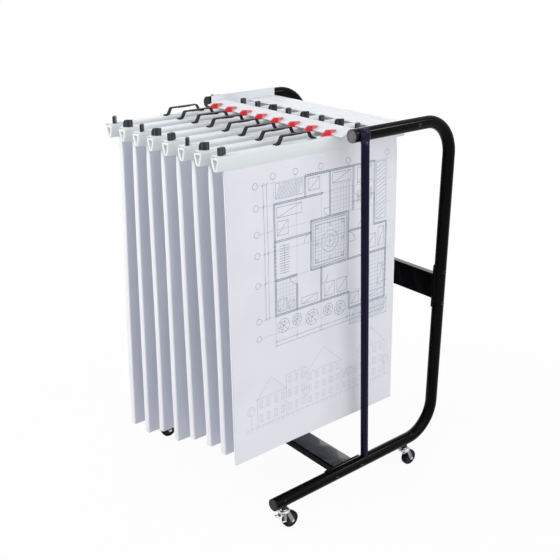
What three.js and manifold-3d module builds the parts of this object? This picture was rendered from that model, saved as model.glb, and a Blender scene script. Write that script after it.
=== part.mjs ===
// A wheeled rack that hangs plan sheets: two bent-tube side frames joined by two cross beams carry
// a pair of white rails. Eight screw-tightened clamps hook onto the front rail and hold plan sheets.
// Millimetres, +X to the right seen from the front, +Y to the back, +Z up from the floor.
// While the pieces are laid out, Y is counted from the front of the top arms' end caps.

import * as THREE from 'three';
import { mergeVertices } from 'three/addons/utils/BufferGeometryUtils.js';
import { ConvexGeometry } from 'three/addons/geometries/ConvexGeometry.js';
import Module from 'manifold-3d';

const wasm = await Module();
wasm.setup();

// Clearances
const seatGap = 0.3;
const turnGap = 0.4;
const slideGap = 0.5;

// Side frames: one bent tube each, closed at both ends by a pressed-in cap
const tubeDiameter = 35;
const tubeWall = 1.5;
const tubeSides = 20;
const uprightSetback = 378;
const bottomArmReach = 255;
const bendRadius = 100;
const bendSteps = 7;
const capHead = 3;
const capDome = 1;
const capPlug = 9;

// Struts: thin tubes, flattened at the top, wrapped over the top arms and bolted to their outside
const strutDiameter = 22;
const strutWall = 1.5;
const strutSides = 16;
const strutTopSetback = 30;
const strutFootGap = 0.4;
const strutFlatThickness = 5;
const strutFlatWidth = 34;
const strutFlatDrop = 9;
const strutFlare = 17;
const strutWrapDegrees = 68;
const strutWrapSteps = 6;

// Cross beams: folded channels with a saddle plate on each end
const beamWidth = 76;
const beamDepth = 22;
const beamSheet = 2.5;
const beamProud = 16;
const saddleLength = 130;
const saddleThickness = 3;
const saddleWrapDegrees = 55;
const saddleSteps = 8;
const lowerBeamSetback = 16;
const rearBeamHeight = 568;

// Hanger: two cheeks inside the top arms, the left one taller, carry the front and the rear rail
const cheekThickness = 2.5;
const cheekFront = 4;
const cheekBack = 243;
const cheekRiseLeft = 22.5;
const cheekRiseRight = 9.5;
const cheekDrop = 20;
const railSheet = 2.5;
const frontRailLead = 12;
const frontRailDepth = 57;
const frontRailClimb = 11.5;
const frontRailLip = 9;
const railGap = 95;
const railEndRoom = 29.9;
const rearRailThickness = 4;
const rearRailGrooves = [26, 73];
const rearRailGrooveWidth = 3;
const rearRailGrooveDepth = 1.5;
const railClearance = 1;

// Clamps: V-section extrusions whose two jaws grip a stack of sheets
const clampCount = 8;
const clampPitch = 68.8;
const clampDrop = 6;
const clampFrontReach = 368;
const clampLength = 624;
const clampWidth = 31;
const clampHeight = 37;
const clampWall = 3;
const clampShoulder = 13;
const clampCorner = 4;
const clampLip = 9;

// Strap handle on each clamp
const handleHookGap = 18.5;
const handleFoot = 10;
const handleSpan = 118;
const handleGrip = 88;
const handleRise = 21;
const handleStrap = 3;
const handleWidth = 10;
const handleSink = 0.6;

// Hook on each clamp that lies over the front rail
const hookWidth = 10;
const hookLength = 28.5;
const hookHump = 14.5;
const hookHumpLead = 20;
const hookNose = 2;
const hookFingerReach = 20;
const hookFingerThickness = 4;

// Thumb screws: the front one near the clamp's front end, the other behind the front rail
const knobFrontInset = 20;
const knobRearGap = 41;
const knobWingWidth = 24.5;
const knobWingThickness = 8;
const knobHeight = 18.5;
const knobCollarHeight = 3.5;
const knobCollarRadius = 5.5;
const knobWingCorner = 3;
const knobStudRadius = 3;
const knobStudEnd = 0.3;
const knobSides = 12;
const knobFrontTurns = [140, 50, 140, 50, 110, 140, 50, 110];
const knobRearTurns = [118, 118, 50, 118, 50, 118, 50, 118];

// Sheets: a stack in each clamp, gripped tight by the jaws and looser below them.
// The stacks fan out a little, so each one's hem swings to a side by its own amount.
const sheetWidth = 577;
const sheetLengths = [935, 928, 884, 879, 835, 818, 812, 813];
const sheetSwings = [-28, -15, 0, 12, 26, 34, 35, 22];
const sheetInset = 21;
const sheetTopRoom = 1;
const hemClearance = 8.5;
const stackGripped = 8;
const stackLoose = 15;
const stackHem = 17;
const stackLoosens = 70;

// Casters: a stem in the bottom arm, a fork that swivels on it and a trailing wheel
const casterFrontInset = 39;
const casterRearInset = 12;
const casterTrail = 22;
const wheelRadius = 24;
const wheelWidth = 20;
const wheelSides = 24;
const wheelTreadRound = 5;
const wheelTopRoom = 5;
const axleRadius = 3;
const axleHead = 2.5;
const axleHeadRadius = 5;
const axleSides = 12;
const forkLeg = 2.5;
const forkSideRoom = 1;
const forkHalfLength = 13;
const forkBoss = 7;
const forkCrown = 3;
const dishRadius = 17;
const dishHeight = 10;
const collarRadius = 9;
const collarHeight = 10.405;
const stemRadius = 5;
const stemInTube = 20;
const casterSides = 20;

// Brakes: wire bails on the front casters that a foot presses down
const bailWire = 1.6;
const bailSides = 8;
const bailPivotLead = 4;
const bailPivotRise = 13.2;
const bailReach = 15;
const bailLift = 3;
const bailBend = 3.5;
const bailBendSteps = 3;
const bailRoom = 4.5;
const bailPinEnd = 2;
const bailEar = 5;

const tubeRadius = tubeDiameter / 2;
const innerRadius = tubeRadius - tubeWall;

// Heights, stacked up from the floor: wheel, fork, bottom arms, lower beam, longest sheets, clamps, top arms
const axleHeight = wheelRadius * Math.cos(Math.PI / wheelSides);
const crownBase = axleHeight + wheelRadius + wheelTopRoom;
const dishBase = crownBase + forkCrown;
const dishTop = dishBase + dishHeight;
const armUnderside = dishTop + collarHeight + seatGap;
const bottomArmHeight = armUnderside + tubeRadius;
const sheetTopDepth = clampWall + sheetTopRoom;
const clampTop = bottomArmHeight + beamProud + hemClearance + Math.max(...sheetLengths) + sheetTopDepth;
const clampFoot = clampTop - clampHeight;
const topArmHeight = clampTop + clampDrop;
const frontRailBase = clampTop + railClearance;

// Widths, from the middle out: clamps, cheeks, arms
const clampSpread = ((clampCount - 1) * clampPitch) / 2;
const cheekInside = clampSpread + clampWidth / 2 + railEndRoom;
const cheekOutside = cheekInside + cheekThickness;
const railHalf = cheekInside - seatGap;
const armX = cheekOutside + seatGap + tubeRadius;

// Places from front to back
const clampFront = -clampFrontReach;
const railFront = -frontRailLead;
const railBack = railFront + frontRailDepth;
const hookBack = railFront - slideGap;
const hookFront = hookBack - hookLength;
const knobFront = clampFront + knobFrontInset;
const knobRear = railBack + knobRearGap;
const rearRailFront = railBack + railGap;
const strutFootSetback = lowerBeamSetback + saddleLength / 2 + strutFootGap + strutDiameter / 2;
const casterFront = casterFrontInset - bottomArmReach;
const casterRear = uprightSetback - bendRadius - casterRearInset;
const backMost = uprightSetback + tubeRadius;

const finishes = {
  blackPaint: { color: 0x0c0c0d, roughness: 0.25, metalness: 0.3 },
  strutPaint: { color: 0x0a0a12, roughness: 0.35, metalness: 0.3 },
  whitePaint: { color: 0xf1f2f4, roughness: 0.35, metalness: 0.1 },
  clampWhite: { color: 0xe9ecec, roughness: 0.4, metalness: 0 },
  hookRed: { color: 0xd8202a, roughness: 0.35, metalness: 0 },
  knobBlack: { color: 0x17171a, roughness: 0.55, metalness: 0 },
  paper: { color: 0xf3f3f5, roughness: 0.9, metalness: 0 },
  zinc: { color: 0xc6c9cc, roughness: 0.3, metalness: 1 },
  tyre: { color: 0x141414, roughness: 0.6, metalness: 0 },
};
for (const [name, settings] of Object.entries(finishes)) {
  finishes[name] = new THREE.MeshStandardMaterial(settings);
}

const rack = new THREE.Group();
rack.position.y = -(clampFront + backMost) / 2;

function add(name, geometry, finish, x = 0, y = 0, z = 0, turn = 0) {
  const mesh = new THREE.Mesh(geometry, finishes[finish]);
  mesh.name = name;
  mesh.position.set(x, y, z);
  mesh.rotation.z = THREE.MathUtils.degToRad(turn);
  rack.add(mesh);
}

// Joining and cutting of closed geometries

function solid(geometry) {
  const bare = geometry.clone();
  bare.deleteAttribute('normal');
  bare.deleteAttribute('uv');
  const merged = mergeVertices(bare, 1e-4);
  const corners = merged.index.array;
  const triangles = [];
  for (let i = 0; i < corners.length; i += 3) {
    const [a, b, c] = corners.slice(i, i + 3);
    if (a !== b && b !== c && c !== a) triangles.push(a, b, c);
  }
  return new wasm.Manifold(
    new wasm.Mesh({
      numProp: 3,
      vertProperties: new Float32Array(merged.attributes.position.array),
      triVerts: new Uint32Array(triangles),
    }),
  );
}

function geometryOf(manifold) {
  const mesh = manifold.getMesh();
  const geometry = new THREE.BufferGeometry();
  geometry.setAttribute('position', new THREE.BufferAttribute(mesh.vertProperties, 3));
  geometry.setIndex(new THREE.BufferAttribute(mesh.triVerts, 1));
  return geometry;
}

function join(...geometries) {
  return geometries.map(solid).reduce((whole, piece) => whole.add(piece));
}

// Outlines and bodies

function circle(radius, sides) {
  const step = (2 * Math.PI) / sides;
  return Array.from(
    { length: sides },
    (_, i) => new THREE.Vector2(radius * Math.cos((i + 0.5) * step), radius * Math.sin((i + 0.5) * step)),
  );
}

function pipeShape(radius, wall, sides) {
  const shape = new THREE.Shape(circle(radius, sides));
  shape.holes.push(new THREE.Path(circle(radius - wall, sides)));
  return shape;
}

function outline(points) {
  return new THREE.Shape(points.map(([a, b]) => new THREE.Vector2(a, b)));
}

function extrude(shape, depth) {
  return new THREE.ExtrudeGeometry(shape, { depth, bevelEnabled: false, curveSegments: 4 });
}

// An outline in X and Z, drawn out along Y from front to back
function alongY(shape, front, back) {
  return extrude(shape, back - front).rotateX(Math.PI / 2).translate(0, back, 0);
}

// An outline in Y and Z, drawn out along X from left to right
function alongX(shape, left, right) {
  const turn = new THREE.Matrix4().makeBasis(
    new THREE.Vector3(0, 1, 0),
    new THREE.Vector3(0, 0, 1),
    new THREE.Vector3(1, 0, 0),
  );
  return extrude(shape, right - left).applyMatrix4(turn).translate(left, 0, 0);
}

function rodAlongX(radius, sides, left, right) {
  return alongX(new THREE.Shape(circle(radius, sides)), left, right);
}

// A profile of [radius, height] pairs turned round the vertical axis
function turned(profile, sides) {
  const points = profile.map(([radius, height]) => new THREE.Vector2(radius, height));
  return new THREE.LatheGeometry(points, sides).rotateX(Math.PI / 2);
}

// A line through corner points whose corners are rounded to one radius
class RoundedPath extends THREE.Curve {
  constructor(corners, radius, steps) {
    super();
    this.stations = [];
    const ways = corners.slice(1).map((corner, i) => corner.clone().sub(corners[i]).normalize());
    this.stations.push({ point: corners[0], way: ways[0] });
    for (let i = 1; i < corners.length - 1; i++) {
      const before = ways[i - 1];
      const after = ways[i];
      const angle = before.angleTo(after);
      const setback = radius * Math.tan(angle / 2);
      const start = corners[i].clone().addScaledVector(before, -setback);
      const axis = before.clone().cross(after).normalize();
      const inward = axis.clone().cross(before);
      const centre = start.clone().addScaledVector(inward, radius);
      for (let step = 0; step <= steps; step++) {
        const turn = (angle * step) / steps;
        const point = start.clone().sub(centre).applyAxisAngle(axis, turn).add(centre);
        this.stations.push({ point, way: before.clone().applyAxisAngle(axis, turn) });
      }
    }
    this.stations.push({ point: corners[corners.length - 1], way: ways[ways.length - 1] });
  }

  get steps() {
    return this.stations.length - 1;
  }

  getUtoTmapping(share) {
    return share;
  }

  getPoint(share, target = new THREE.Vector3()) {
    return target.copy(this.stations[Math.round(share * this.steps)].point);
  }

  getTangent(share, target = new THREE.Vector3()) {
    return target.copy(this.stations[Math.round(share * this.steps)].way);
  }
}

function sweep(shape, path) {
  return new THREE.ExtrudeGeometry(shape, { steps: path.steps, extrudePath: path });
}

// Side frames with their end caps; the caster stems' holes open the tube below

function endCap(front) {
  const plug = innerRadius + tubeWall / 2;
  const profile = [
    [0, 0],
    [tubeRadius - capDome, 0],
    [tubeRadius, capDome],
    [tubeRadius, capHead],
    [plug, capHead],
    [plug, capHead + capPlug],
    [0, capHead + capPlug],
  ];
  return turned(profile, tubeSides).rotateX(-Math.PI / 2).translate(0, front, 0);
}

function sideFrame() {
  const corners = [
    new THREE.Vector3(0, capHead, topArmHeight),
    new THREE.Vector3(0, uprightSetback, topArmHeight),
    new THREE.Vector3(0, uprightSetback, bottomArmHeight),
    new THREE.Vector3(0, capHead - bottomArmReach, bottomArmHeight),
  ];
  const path = new RoundedPath(corners, bendRadius, bendSteps);
  const tube = sweep(pipeShape(tubeRadius, tubeWall, tubeSides), path);
  const topCap = endCap(0).translate(0, 0, topArmHeight);
  const bottomCap = endCap(-bottomArmReach).translate(0, 0, bottomArmHeight);
  let frame = join(tube, topCap, bottomCap);
  for (const stem of [casterFront, casterRear]) {
    const hole = new THREE.CylinderGeometry(
      stemRadius + turnGap,
      stemRadius + turnGap,
      tubeRadius,
      casterSides,
    );
    hole.rotateX(Math.PI / 2).translate(0, stem, bottomArmHeight - tubeRadius);
    frame = frame.subtract(solid(hole));
  }
  return geometryOf(frame);
}

const frameShape = sideFrame();
add('side_frame_left', frameShape, 'blackPaint', -armX);
add('side_frame_right', frameShape, 'blackPaint', armX);

// A curved plate round a tube's axis, as an outline from one angle to another, counted up from the +X side
function curvedPlate(thickness, from, to, steps) {
  const inner = (tubeRadius + seatGap) / Math.cos(Math.PI / tubeSides);
  const arc = (radius, start, end) =>
    Array.from({ length: steps + 1 }, (_, i) => {
      const angle = THREE.MathUtils.degToRad(start + ((end - start) * i) / steps);
      return [radius * Math.cos(angle), radius * Math.sin(angle)];
    });
  return [...arc(inner + thickness, from, to), ...arc(inner, to, from)];
}

// Struts: coped onto the bottom arm, leaning out to the flattened top that wraps over the top arm

function strut(side) {
  const flatInside = tubeRadius + seatGap;
  const top = new THREE.Vector3(side * (flatInside + strutFlatThickness / 2), strutTopSetback, topArmHeight);
  const foot = new THREE.Vector3(0, strutFootSetback, bottomArmHeight);
  const way = top.clone().sub(foot).normalize();
  const flareTop = topArmHeight - strutFlatDrop;
  const roundEnd = foot.clone().addScaledVector(way, (flareTop - strutFlare - foot.z) / way.z);
  const path = new RoundedPath([foot, roundEnd], 0, 0);
  const tube = sweep(pipeShape(strutDiameter / 2, strutWall, strutSides), path);
  const half = strutFlatWidth / 2;
  const wrapStart = -THREE.MathUtils.radToDeg(Math.asin(strutFlatDrop / (flatInside + strutFlatThickness)));
  const wrap = curvedPlate(strutFlatThickness, wrapStart, strutWrapDegrees, strutWrapSteps);
  const flat = alongY(outline(wrap.map(([x, z]) => [side * x, z])), top.y - half, top.y + half);
  flat.translate(0, 0, topArmHeight);
  const rim = circle(strutDiameter / 2, strutSides).map(
    ({ x, y }) => new THREE.Vector3(roundEnd.x + x, roundEnd.y + y, roundEnd.z),
  );
  const lip = [-1, 1].flatMap((across) =>
    [-1, 1].map(
      (along) =>
        new THREE.Vector3(
          top.x + (across * strutFlatThickness) / 2,
          top.y + along * half,
          flareTop + strutFlatThickness,
        ),
    ),
  );
  const whole = join(tube, new ConvexGeometry([...rim, ...lip]), flat);
  const copeRadius = (tubeRadius + seatGap) / Math.cos(Math.PI / tubeSides);
  const cope = alongY(
    new THREE.Shape(circle(copeRadius, tubeSides)),
    strutFootSetback - strutDiameter,
    strutFootSetback + strutDiameter,
  );
  cope.translate(0, 0, bottomArmHeight);
  return geometryOf(whole.subtract(solid(cope)));
}

add('strut_left', strut(-1), 'strutPaint', -armX);
add('strut_right', strut(1), 'strutPaint', armX);

// Cross beams, drawn lying between the bottom arms and stood up for the rear one

function saddle(side) {
  const plate = curvedPlate(saddleThickness, -saddleWrapDegrees, saddleWrapDegrees, saddleSteps);
  const points = plate.map(([x, z]) => [side * (armX - x), z]);
  return alongY(outline(points), -saddleLength / 2, saddleLength / 2);
}

function crossBeam() {
  const half = beamWidth / 2;
  const low = beamProud - beamDepth;
  const channel = outline([
    [-half, low],
    [-half + beamSheet, low],
    [-half + beamSheet, beamProud - beamSheet],
    [half - beamSheet, beamProud - beamSheet],
    [half - beamSheet, low],
    [half, low],
    [half, beamProud],
    [-half, beamProud],
  ]);
  const reach = armX - tubeRadius - seatGap - saddleThickness / 2;
  const trimRadius = tubeRadius + seatGap + saddleThickness / 2;
  let beam = solid(alongX(channel, -reach - saddleThickness, reach + saddleThickness));
  for (const side of [-1, 1]) {
    const arm = alongY(new THREE.Shape(circle(trimRadius, tubeSides)), -beamWidth, beamWidth);
    beam = beam.subtract(solid(arm.translate(side * armX, 0, 0)));
  }
  return geometryOf(beam.add(solid(saddle(-1))).add(solid(saddle(1))));
}

const beamShape = crossBeam();
add('lower_cross_beam', beamShape, 'blackPaint', 0, lowerBeamSetback, bottomArmHeight);
const standing = beamShape.clone().rotateX(Math.PI / 2);
add('rear_cross_beam', standing, 'blackPaint', 0, uprightSetback, rearBeamHeight);

// Hanger: cheeks against the arms' inner sides, rails between the cheeks

function cheek(side) {
  const top = topArmHeight + (side < 0 ? cheekRiseLeft : cheekRiseRight);
  const plate = outline([
    [cheekFront, topArmHeight - cheekDrop],
    [cheekBack, topArmHeight - cheekDrop],
    [cheekBack, top],
    [cheekFront, top],
  ]);
  const left = side < 0 ? -cheekOutside : cheekInside;
  return alongX(plate, left, left + cheekThickness);
}

// The front rail's flange climbs towards the back and ends in a lip turned down
function frontRail() {
  const crest = frontRailBase + railSheet + frontRailClimb;
  const section = outline([
    [railFront, frontRailBase],
    [railBack - railSheet, crest - railSheet],
    [railBack - railSheet, crest - frontRailLip],
    [railBack, crest - frontRailLip],
    [railBack, crest - railSheet / 2],
    [railBack - railSheet, crest],
    [railFront, frontRailBase + railSheet],
  ]);
  return alongX(section, -railHalf, railHalf);
}

function rearRail() {
  const base = clampTop + railClearance;
  const top = base + rearRailThickness;
  const grooves = rearRailGrooves.flatMap((setback) => {
    const near = rearRailFront + setback - rearRailGrooveWidth / 2;
    const far = near + rearRailGrooveWidth;
    const floor = top - rearRailGrooveDepth;
    return [
      [near, top],
      [near, floor],
      [far, floor],
      [far, top],
    ];
  });
  const section = outline([
    [cheekBack, base],
    [rearRailFront, base],
    [rearRailFront, top],
    ...grooves,
    [cheekBack, top],
  ]);
  return alongX(section, -railHalf, railHalf);
}

add('hanger_cheek_left', cheek(-1), 'whitePaint');
add('hanger_cheek_right', cheek(1), 'whitePaint');
add('front_rail', frontRail(), 'whitePaint');
add('rear_rail', rearRail(), 'whitePaint');

// Clamps

const halfSlit = stackGripped / 2 + seatGap;

function clampSection() {
  const half = clampWidth / 2;
  const foot = halfSlit + clampWall;
  const right = [
    [halfSlit, clampFoot],
    [foot, clampFoot],
    [half, clampTop - clampShoulder],
    [half, clampTop - clampCorner],
    [half - clampCorner, clampTop],
  ];
  const hollow = [
    [halfSlit, clampFoot + clampLip],
    [half - clampWall, clampTop - clampShoulder],
    [half - clampWall, clampTop - clampWall],
  ];
  const mirrored = (points) => points.map(([x, z]) => [-x, z]).reverse();
  return outline([...right, ...mirrored(right), ...mirrored(hollow).reverse(), ...hollow.reverse()]);
}

// Strap handle: feet on the clamp's top, legs sloping up to the grip
function handle() {
  const back = hookFront - handleHookGap;
  const legBack = back - handleFoot;
  const legFront = legBack - handleSpan;
  const front = legFront - handleFoot;
  const slope = (handleSpan - handleGrip) / 2;
  const crown = clampTop + handleRise;
  const bend = handleStrap * Math.tan(Math.atan2(handleRise - handleStrap, slope) / 2);
  const base = clampTop - handleSink;
  const strap = outline([
    [front, base],
    [legFront, base],
    [legFront + slope + bend, crown - handleStrap],
    [legBack - slope - bend, crown - handleStrap],
    [legBack, base],
    [back, base],
    [back, clampTop + handleStrap],
    [legBack + bend, clampTop + handleStrap],
    [legBack - slope, crown],
    [legFront + slope, crown],
    [legFront - bend, clampTop + handleStrap],
    [front, clampTop + handleStrap],
  ]);
  return alongX(strap, -handleWidth / 2, handleWidth / 2);
}

// The extrusion with its strap handle on top and a hole for each thumb screw
function clampBody() {
  let body = join(alongY(clampSection(), clampFront, clampFront + clampLength), handle());
  for (const place of [knobFront, knobRear]) {
    const radius = knobStudRadius + turnGap;
    const hole = new THREE.CylinderGeometry(radius, radius, 4 * clampWall, knobSides);
    body = body.subtract(solid(hole.rotateX(Math.PI / 2).translate(0, place, clampTop)));
  }
  return geometryOf(body);
}

// The hook stands on the clamp ahead of the rail and its finger lies on the rail's flange
function hook() {
  const rise = frontRailClimb / (frontRailDepth - railSheet);
  const flange = (y) => frontRailBase + railSheet + rise * (y - railFront);
  const tip = railFront + hookFingerReach;
  const base = clampTop + seatGap;
  const hump = clampTop + hookHump;
  const shape = new THREE.Shape();
  shape.moveTo(hookFront, base);
  shape.lineTo(hookBack, base);
  shape.lineTo(hookBack, flange(hookBack) + seatGap);
  shape.lineTo(tip, flange(tip) + seatGap);
  shape.lineTo(tip, flange(tip) + seatGap + hookFingerThickness);
  shape.quadraticCurveTo(hookBack, hump, hookFront + hookHumpLead, hump);
  shape.quadraticCurveTo(hookFront + hookHumpLead / 2, hump, hookFront, base + hookNose);
  return alongX(shape, -hookWidth / 2, hookWidth / 2);
}

// Thumb screw: a flat wing on a collar, with a stud down through the clamp's top
function thumbScrew() {
  const half = knobWingWidth / 2;
  const corner = knobWingCorner;
  const low = knobCollarHeight / 2;
  const studLength = seatGap + clampWall + knobStudEnd;
  const wing = outline([
    [-half + corner, low],
    [half - corner, low],
    [half, low + corner],
    [half, knobHeight - corner],
    [half - corner, knobHeight],
    [-half + corner, knobHeight],
    [-half, knobHeight - corner],
    [-half, low + corner],
  ]);
  const post = [
    [0, -studLength],
    [knobStudRadius, -studLength],
    [knobStudRadius, 0],
    [knobCollarRadius, 0],
    [knobCollarRadius, knobCollarHeight],
    [0, knobCollarHeight],
  ];
  const blade = alongY(wing, -knobWingThickness / 2, knobWingThickness / 2);
  return geometryOf(join(blade, turned(post, knobSides)));
}

// The stack of sheets: tight between the jaws, spreading and swinging a little below them
function sheetStack(length, swing) {
  const top = clampTop - sheetTopDepth;
  const hem = top - length;
  const front = clampFront + sheetInset;
  const stations = [
    [hem, stackHem],
    [clampFoot - stackLoosens, stackLoose],
    [clampFoot, stackGripped],
    [top, stackGripped],
  ];
  const middle = (z) => (swing * Math.max(clampFoot - z, 0)) / (clampFoot - hem);
  const side = (sign) => stations.map(([z, thickness]) => [middle(z) + (sign * thickness) / 2, z]);
  return alongY(outline([...side(1), ...side(-1).reverse()]), front, front + sheetWidth);
}

function nth(list, i) {
  return list[i % list.length];
}

const bodyShape = clampBody();
const hookShape = hook();
const screwShape = thumbScrew();
for (let i = 0; i < clampCount; i++) {
  const x = i * clampPitch - clampSpread;
  const number = i + 1;
  const seat = clampTop + seatGap;
  add(`clamp_${number}_body`, bodyShape, 'clampWhite', x);
  add(`clamp_${number}_hook`, hookShape, 'hookRed', x);
  add(`clamp_${number}_front_screw`, screwShape, 'knobBlack', x, knobFront, seat, nth(knobFrontTurns, i));
  add(`clamp_${number}_rear_screw`, screwShape, 'knobBlack', x, knobRear, seat, nth(knobRearTurns, i));
  add(`clamp_${number}_sheets`, sheetStack(nth(sheetLengths, i), nth(sheetSwings, i)), 'paper', x);
}

// Casters, drawn round their stems: the wheel trails behind the stem

const legInside = wheelWidth / 2 + forkSideRoom;
const legOutside = legInside + forkLeg;
const bailPivotHeight = axleHeight + bailPivotRise;

function fork(braked) {
  const leg = new THREE.Shape();
  leg.moveTo(-forkHalfLength, dishBase);
  if (braked) {
    leg.lineTo(-bailPivotLead - bailEar, bailPivotHeight + bailEar);
    leg.lineTo(-bailPivotLead - bailEar, bailPivotHeight - bailEar / 2);
    leg.lineTo(-bailPivotLead, bailPivotHeight - bailEar);
  }
  leg.lineTo(casterTrail - forkBoss, axleHeight);
  leg.lineTo(casterTrail - forkBoss / 2, axleHeight - forkBoss);
  leg.lineTo(casterTrail + forkBoss / 2, axleHeight - forkBoss);
  leg.lineTo(casterTrail + forkBoss, axleHeight);
  leg.lineTo(casterTrail + forkBoss, axleHeight + forkBoss);
  leg.lineTo(forkHalfLength, dishBase);
  if (braked) {
    const eye = circle(bailWire + turnGap, axleSides);
    const pivot = new THREE.Vector2(-bailPivotLead, bailPivotHeight);
    leg.holes.push(new THREE.Path(eye.map((point) => point.add(pivot))));
  }
  const crown = new THREE.BoxGeometry(2 * legOutside, 2 * forkHalfLength, forkCrown);
  crown.translate(0, 0, crownBase + forkCrown / 2);
  const head = [
    [0, dishBase - forkCrown / 2],
    [dishRadius - 2 * forkCrown, dishBase - forkCrown / 2],
    [dishRadius, dishBase + dishHeight / 2],
    [dishRadius - forkCrown / 2, dishTop],
    [collarRadius, dishTop],
    [collarRadius, armUnderside - seatGap],
    [stemRadius, armUnderside - seatGap],
    [stemRadius, armUnderside + stemInTube],
    [0, armUnderside + stemInTube],
  ];
  const legMiddle = (legInside + legOutside) / 2;
  const axle = [
    rodAlongX(axleRadius, axleSides, -legMiddle, legMiddle),
    rodAlongX(axleHeadRadius, axleSides, -legOutside - axleHead, -legMiddle),
    rodAlongX(axleHeadRadius, axleSides, legMiddle, legOutside + axleHead),
  ];
  for (const rod of axle) {
    rod.translate(0, casterTrail, axleHeight);
  }
  const legs = [alongX(leg, -legOutside, -legInside), alongX(leg, legInside, legOutside)];
  return geometryOf(join(crown, ...legs, turned(head, casterSides), ...axle));
}

// A wheel that stands on one of its flats
function wheel() {
  const bore = axleRadius + turnGap;
  const half = wheelWidth / 2;
  const profile = [
    [bore, -half],
    [wheelRadius - wheelTreadRound, -half],
    [wheelRadius, wheelTreadRound - half],
    [wheelRadius, half - wheelTreadRound],
    [wheelRadius - wheelTreadRound, half],
    [bore, half],
    [bore, -half],
  ];
  return turned(profile, wheelSides).rotateZ(Math.PI / wheelSides).rotateY(Math.PI / 2);
}

// Wire bail: its two ends turn in the fork's ears
function bail() {
  const pin = legInside - bailPinEnd;
  const side = legOutside + bailRoom;
  const y = -bailPivotLead;
  const z = bailPivotHeight;
  const corners = [
    new THREE.Vector3(pin, y, z),
    new THREE.Vector3(side, y, z),
    new THREE.Vector3(side, y - bailReach, z + bailLift),
    new THREE.Vector3(-side, y - bailReach, z + bailLift),
    new THREE.Vector3(-side, y, z),
    new THREE.Vector3(-pin, y, z),
  ];
  const wire = new THREE.Shape(circle(bailWire, bailSides));
  return sweep(wire, new RoundedPath(corners, bailBend, bailBendSteps));
}

const plainFork = fork(false);
const brakedFork = fork(true);
const wheelShape = wheel();
const bailShape = bail();
for (const [sideName, x] of [['left', -armX], ['right', armX]]) {
  const front = `caster_front_${sideName}`;
  const rear = `caster_rear_${sideName}`;
  add(`${front}_fork`, brakedFork, 'zinc', x, casterFront);
  add(`${front}_wheel`, wheelShape, 'tyre', x, casterFront + casterTrail, axleHeight);
  add(`${front}_brake`, bailShape, 'zinc', x, casterFront);
  add(`${rear}_fork`, plainFork, 'zinc', x, casterRear);
  add(`${rear}_wheel`, wheelShape, 'tyre', x, casterRear + casterTrail, axleHeight);
}

export default rack;
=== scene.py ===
"""A wheeled rack that hangs plan sheets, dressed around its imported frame.

Metres, +X to the right seen from the front, +Y to the back, +Z up from the floor.
"""

import math

import bmesh
import bpy
from mathutils import Matrix, Vector


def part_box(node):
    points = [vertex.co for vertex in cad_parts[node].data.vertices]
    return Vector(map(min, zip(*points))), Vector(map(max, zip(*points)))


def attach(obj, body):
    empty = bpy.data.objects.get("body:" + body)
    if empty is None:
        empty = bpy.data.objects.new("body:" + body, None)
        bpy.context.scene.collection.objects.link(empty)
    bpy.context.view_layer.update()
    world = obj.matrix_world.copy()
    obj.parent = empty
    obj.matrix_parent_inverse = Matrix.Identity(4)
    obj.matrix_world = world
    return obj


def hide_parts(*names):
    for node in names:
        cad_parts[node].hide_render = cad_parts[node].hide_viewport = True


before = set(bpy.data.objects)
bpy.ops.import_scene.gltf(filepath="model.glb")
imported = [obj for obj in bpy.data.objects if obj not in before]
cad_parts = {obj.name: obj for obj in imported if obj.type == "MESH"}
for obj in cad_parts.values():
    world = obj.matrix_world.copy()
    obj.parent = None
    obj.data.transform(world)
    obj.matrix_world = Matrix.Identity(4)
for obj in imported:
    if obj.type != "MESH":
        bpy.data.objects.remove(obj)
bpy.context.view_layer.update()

# Side frames: each is one length of steel tube, bent twice round a former and sprayed gloss black.
# The paint lies smooth on the straights, with a faint orange peel that shows in the reflections.


class Value:
    """A socket in a node tree; arithmetic with it adds Math nodes."""

    def __init__(self, nodes, socket):
        self.nodes = nodes
        self.socket = socket

    def math(self, operation, *terms):
        return self.nodes.node("ShaderNodeMath", {"operation": operation}, dict(enumerate(terms)))

    def __add__(self, other):
        return self.math("ADD", self, other)

    def __sub__(self, other):
        return self.math("SUBTRACT", self, other)

    def __rsub__(self, other):
        return self.math("SUBTRACT", other, self)

    def __mul__(self, other):
        return self.math("MULTIPLY", self, other)

    __radd__ = __add__
    __rmul__ = __mul__


class Nodes:
    """A node tree whose nodes come from one method."""

    def __init__(self, tree):
        self.tree = tree

    def feed(self, socket, value):
        if isinstance(value, Value):
            self.tree.links.new(value.socket, socket)
        else:
            socket.default_value = value

    def node(self, kind, settings, sockets, out=0):
        made = self.tree.nodes.new(kind)
        for name, setting in settings.items():
            setattr(made, name, setting)
        for name, value in sockets.items():
            self.feed(made.inputs[name], value)
        return Value(self, made.outputs[out])


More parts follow.
